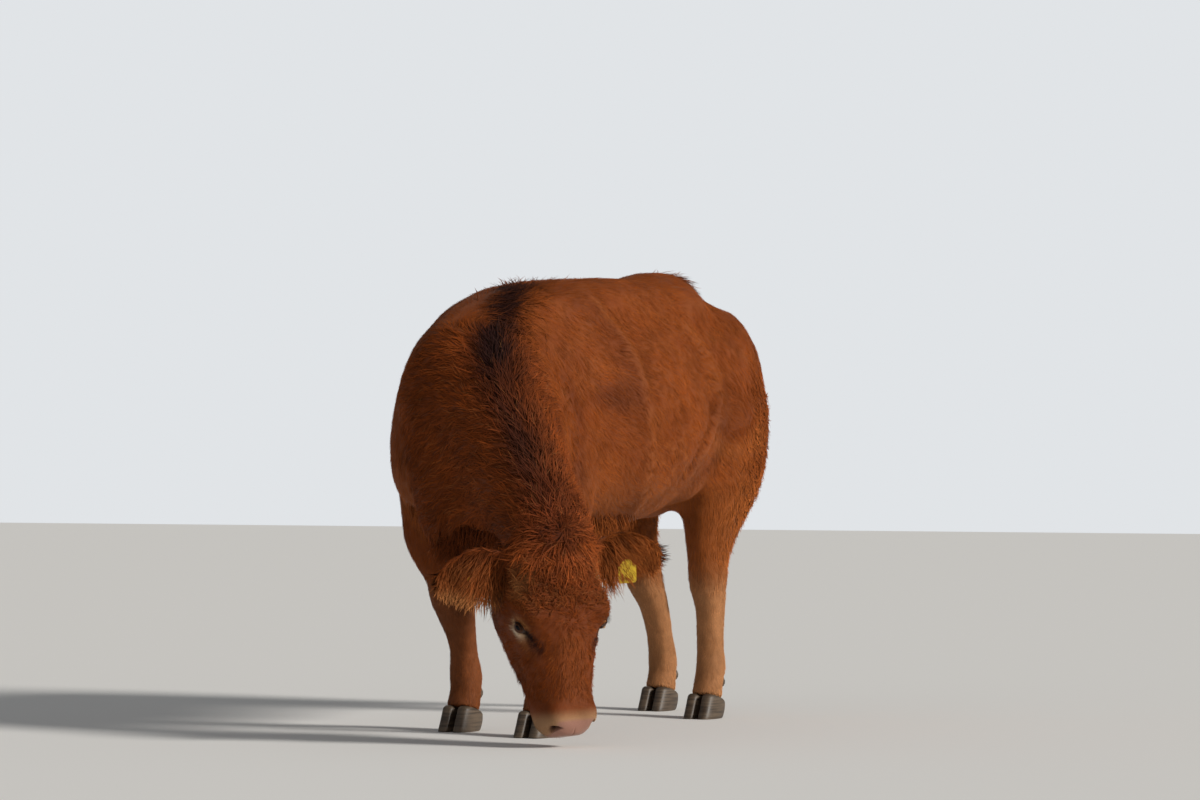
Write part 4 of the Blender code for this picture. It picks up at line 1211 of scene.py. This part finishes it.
def hair_material():
    """Locks of hair: the marking's colour, patches of sun-bleached tone and fine strands."""
    hair = Material("hair", 0.60, 0.06)
    strand = hair.stretched(hair.attribute("strand", "Vector"), (2.2, 0.5, 9.0))
    fine = hair.remap(hair.noise(strand, 2.0), 0.62, 1.38)
    broad = hair.remap(hair.noise(hair.place, 7.0), 0.60, 1.40)
    spots = hair.remap(hair.noise(hair.place, 55.0, 2.0), 0.92, 1.08)
    colour = hair.scaled(hair.attribute("tint", "Color"), hair.multiply(fine, broad, spots))
    hair.look({"Base Color": colour, "Sheen Weight": 0.02, "Sheen Roughness": 0.4})
    hair.look({"Sheen Tint": WARM_SHEEN})
    hair.bump(hair.noise(strand, 3.0), 0.35, 0.0006)
    return hair.made


def skin_material():
    """Short hair as streaks along its lie, and bare damp skin on the nose."""
    hide = Material("hide", 0.60, 0.15)
    place, tint, lie = hide.place, hide.attribute("tint", "Color"), hide.attribute("lie", "Vector")
    bare = hide.attribute("bare", "Fac")
    along = hide.node("VectorMath", {0: place, 1: lie}, operation="DOT_PRODUCT")["Value"]
    along = hide.scaled(lie, hide.multiply(along, 0.86))
    squashed = hide.node("VectorMath", {0: place, 1: along}, operation="SUBTRACT")[0]
    streak = hide.noise(squashed, 420.0)
    fine, broad = hide.remap(streak, 0.55, 1.35), hide.remap(hide.noise(place, 7.0), 0.72, 1.28)
    hairy = hide.scaled(tint, hide.multiply(fine, broad))
    damp = hide.scaled(tint, hide.remap(hide.noise(place, 300.0), 0.82, 1.12))
    grain = {"Vector": place, "Scale": 260.0}
    cells = hide.node("TexVoronoi", grain, feature="DISTANCE_TO_EDGE")["Distance"]
    hide.look({"Base Color": hide.blend("RGBA", bare, hairy, damp)})
    hide.look({"Roughness": hide.remap(bare, 0.62, 0.30)})
    hide.look({"Sheen Weight": 0.04, "Sheen Tint": WARM_SHEEN})
    hide.bump(hide.blend("FLOAT", bare, streak, cells), 0.6, 0.0012)
    return hide.made


def eye_material():
    """A dark, wet eye: brown iris with fine rays round a wide dark pupil."""
    wet = Material("eyeball", 0.07, 0.5)
    rays = wet.remap(wet.noise(wet.place, 900.0), 0.7, 1.3)
    wet.look({"IOR": 1.22, "Base Color": wet.scaled(wet.attribute("tint", "Color"), rays)})
    return wet.made


def horn_material():
    """Worn hoof horn: bands of growth across, fine fibres down."""
    horn = Material("hoof_horn", 0.45, 0.4)
    bands = horn.noise(horn.stretched(horn.place, (10.0, 10.0, 160.0)), 1.0, 4.0)
    fibres = horn.noise(horn.stretched(horn.place, (420.0, 420.0, 22.0)), 1.0)
    colour = horn.graded(bands, (0.30, (0.030, 0.020, 0.014, 1)), (0.72, (0.135, 0.095, 0.062, 1)))
    horn.look({"Base Color": horn.scaled(colour, horn.remap(fibres, 0.75, 1.25))})
    horn.look({"Roughness": horn.remap(bands, 0.35, 0.62)})
    horn.bump(horn.multiply(bands, fibres), 0.5, 0.0008)
    return horn.made


def tag_material():
    """Yellow polyurethane, a little scuffed and dusty."""
    tag = Material("tag_plastic", 0.42, 0.45)
    dust = tag.noise(tag.place, 90.0, 5.0)
    colour = tag.graded(dust, (0.35, (0.62, 0.40, 0.020, 1)), (0.70, (0.90, 0.62, 0.030, 1)))
    tag.look({"Base Color": colour})
    tag.look({"Roughness": tag.remap(tag.noise(tag.place, 400.0, 4.0), 0.34, 0.55)})
    tag.bump(tag.noise(tag.place, 900.0, 2.0), 0.2, 0.0003)
    return tag.made


# Eyes, claws and tags --------------------------------------------------------------------

def make_eye(side, material):
    """An eyeball with a cornea that bulges a little, its pupil a wide slot along the lids."""
    mesh = ball("eye_" + side, 64, 48, EYE_RADIUS)
    spots = points_of(mesh)
    ahead, along, up = (spots @ eye_axes(side).T).T
    off = np.hypot(along, up)
    bulge = (ahead > 0) * ramp(off, 0.0135, 0.006)
    set_points(mesh, spots * (1 + 0.045 * bulge)[:, None] + EYE_SPOTS[side])
    iris = (ahead > 0) * ramp(off, 0.0165, 0.0150)
    pupil = (ahead > 0) * ramp(np.hypot(along / 1.9, up), 0.0052, 0.0042)
    colour = mix(np.tile(EYE_RING, (len(spots), 1)), np.array(IRIS), iris)
    paint(mesh, mix(colour, np.array(PUPIL), pupil))
    piece("eyeball_" + side, mesh, material, "eye", "eye_" + side)


def ring_mesh(name, loops):
    """A closed surface over rings of points, flat at both ends."""
    count = len(loops[0])
    made = bmesh.new()
    verts = [made.verts.new(p) for loop in loops for p in loop]
    for start in range(0, len(verts) - count, count):
        for k in range(count):
            a, b = start + k, start + (k + 1) % count
            made.faces.new((verts[a], verts[b], verts[b + count], verts[a + count]))
    made.faces.new(verts[:count][::-1])
    made.faces.new(verts[-count:])
    bmesh.ops.recalc_face_normals(made, faces=made.faces)
    mesh = mesh_of(made, name)
    mesh.set_sharp_from_angle(angle=math.radians(50))
    return mesh


def make_claw(name, material):
    """A claw with a rounded wall, growth rings and a worn lower edge, in its node's box."""
    low, high = corners_of(name)
    middle_x, half, length = (low[0] + high[0]) / 2, (high[0] - low[0]) / 2, high[1] - low[1]
    sides, levels = 44, 15
    angle = math.tau * np.arange(sides) / sides
    across, along = np.cos(angle), np.sin(angle)
    flat = across * (-1 if name.endswith("_a") else 1) > 0        # the wall by the other claw
    across = np.copysign(abs(across) ** np.where(flat, 0.42, 0.85), across)
    along = np.copysign(abs(along) ** 0.92, along)
    loops = []
    for level in range(levels):
        t = level / (levels - 1)
        arch = math.sin(math.pi * t)
        toe = low[1] + length * 0.265 * t ** 0.85
        heel = high[1] - length * (0.035 + 0.09 * (1 - t) - 0.05 * arch)
        bulge = min(1.0, 1 + 0.008 * math.sin(level * 2.1) + 0.03 * arch)
        tuck = 1 - 0.16 * max(0.0, (t - 0.86) / 0.14) ** 2 - 0.05 * max(0.0, (0.08 - t) / 0.08)
        x = middle_x + half * 0.97 * across * np.where(flat, 1.0, bulge) * tuck
        y = (toe + heel) / 2 + along * (heel - toe) / 2 * tuck
        top = 0.064 - 0.27 * (y - low[1] - length * 0.645)
        loops.append(np.stack([x, y, top * t], 1))
    piece(name + "_horn", ring_mesh(name, loops), material, "horn", name)


def make_dewclaw(name, material):
    low, high = corners_of(name)
    centre, half = (low + high) / 2, (high - low) / 2
    mesh = ball(name, 24, 16, 1)
    spots = points_of(mesh)
    spots[:, :2] *= 1 - 0.25 * np.clip(spots[:, 2:], 0, 1)
    spots = spots * (1 + 0.03 * np.sin(spots[:, 2:] * 14)) * half * 0.96 + centre
    set_points(mesh, spots)
    piece(name + "_horn", mesh, material, "horn", name)


def dress_tag(side, material):
    """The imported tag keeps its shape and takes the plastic's looks."""
    tag = NODES["ear_tag_" + side]
    tag.data.materials.clear()
    tag.data.materials.append(material)


# Stage -----------------------------------------------------------------------------------

def make_floor():
    bpy.ops.mesh.primitive_plane_add(size=60, location=(0, 0, -0.0005))
    floor = bpy.context.object
    floor.name = "floor"
    matt = Material("floor", 0.9, 0.1)
    matt.look({"Base Color": (0.84, 0.83, 0.81, 1)})
    floor.data.materials.append(matt.made)


def make_light():
    """A sky that looks brighter than it lights, a key lamp on the cow's left and a weak one in front."""
    world = bpy.data.worlds.new("studio")
    bpy.context.scene.world = world
    world.use_nodes = True
    nodes, links = world.node_tree.nodes, world.node_tree.links
    background = nodes["Background"].inputs
    background["Color"].default_value = (0.94, 0.97, 1.0, 1)
    seen, strength = nodes.new("ShaderNodeLightPath"), nodes.new("ShaderNodeMapRange")
    strength.inputs["To Min"].default_value = SKY_LIGHT
    strength.inputs["To Max"].default_value = SKY_SEEN
    links.new(seen.outputs["Is Camera Ray"], strength.inputs["Value"])
    links.new(strength.outputs["Result"], background["Strength"])
    bpy.context.scene.view_settings.view_transform = "Standard"
    for name, way, energy, softness in LAMPS:
        data = bpy.data.lights.new(name, "SUN")
        data.energy = energy
        data.angle = math.radians(softness)
        data.color = (1.0, 0.965, 0.91)
        lamp = add_object(name, data)
        lamp.location = Vector(way) * 8
        lamp.rotation_euler = Vector(way).to_track_quat("Z", "Y").to_euler()


def make_camera():
    data = bpy.data.cameras.new("camera")
    data.lens = CAMERA_LENS
    data.sensor_width = 36
    data.clip_end = 200
    camera = add_object("camera", data)
    camera.location = CAMERA_SPOT
    level = math.cos(CAMERA_RISE)
    ahead = (-math.sin(CAMERA_AZIMUTH) * level, math.cos(CAMERA_AZIMUTH) * level, math.sin(CAMERA_RISE))
    camera.rotation_euler = Vector(ahead).to_track_quat("-Z", "Y").to_euler()
    bpy.context.scene.camera = camera


def dress_skin(skin, material):
    mesh = skin.mesh
    # the skin under the hair is painted darker, as painted shade among the tufts; bare skin keeps its
    # colour
    paint(mesh, skin.tint * (0.76 + 0.24 * skin.bald)[:, None])
    attach(mesh, "lie", skin.lie)
    attach(mesh, "bare", skin.bare)
    piece("skin", mesh, material, "coat", *FLESH)


def main():
    make_floor()
    make_light()
    make_camera()
    skin = Skin(*make_skin())
    dress_skin(skin, skin_material())
    share_made = 1.0
    coat = Coat(skin, Unwrap(skin.mesh))
    body_coat(coat, share_made)
    long_coat(coat, share_made)
    lashes(coat)
    coat.build(hair_material())
    wet, horn, plastic = eye_material(), horn_material(), tag_material()
    for side in SIDES:
        make_eye(side, wet)
        dress_tag(side, plastic)
    for name in sorted(NODES):
        if name.startswith("claw"):
            make_claw(name, horn)
        elif name.startswith("dewclaw"):
            make_dewclaw(name, horn)


main()
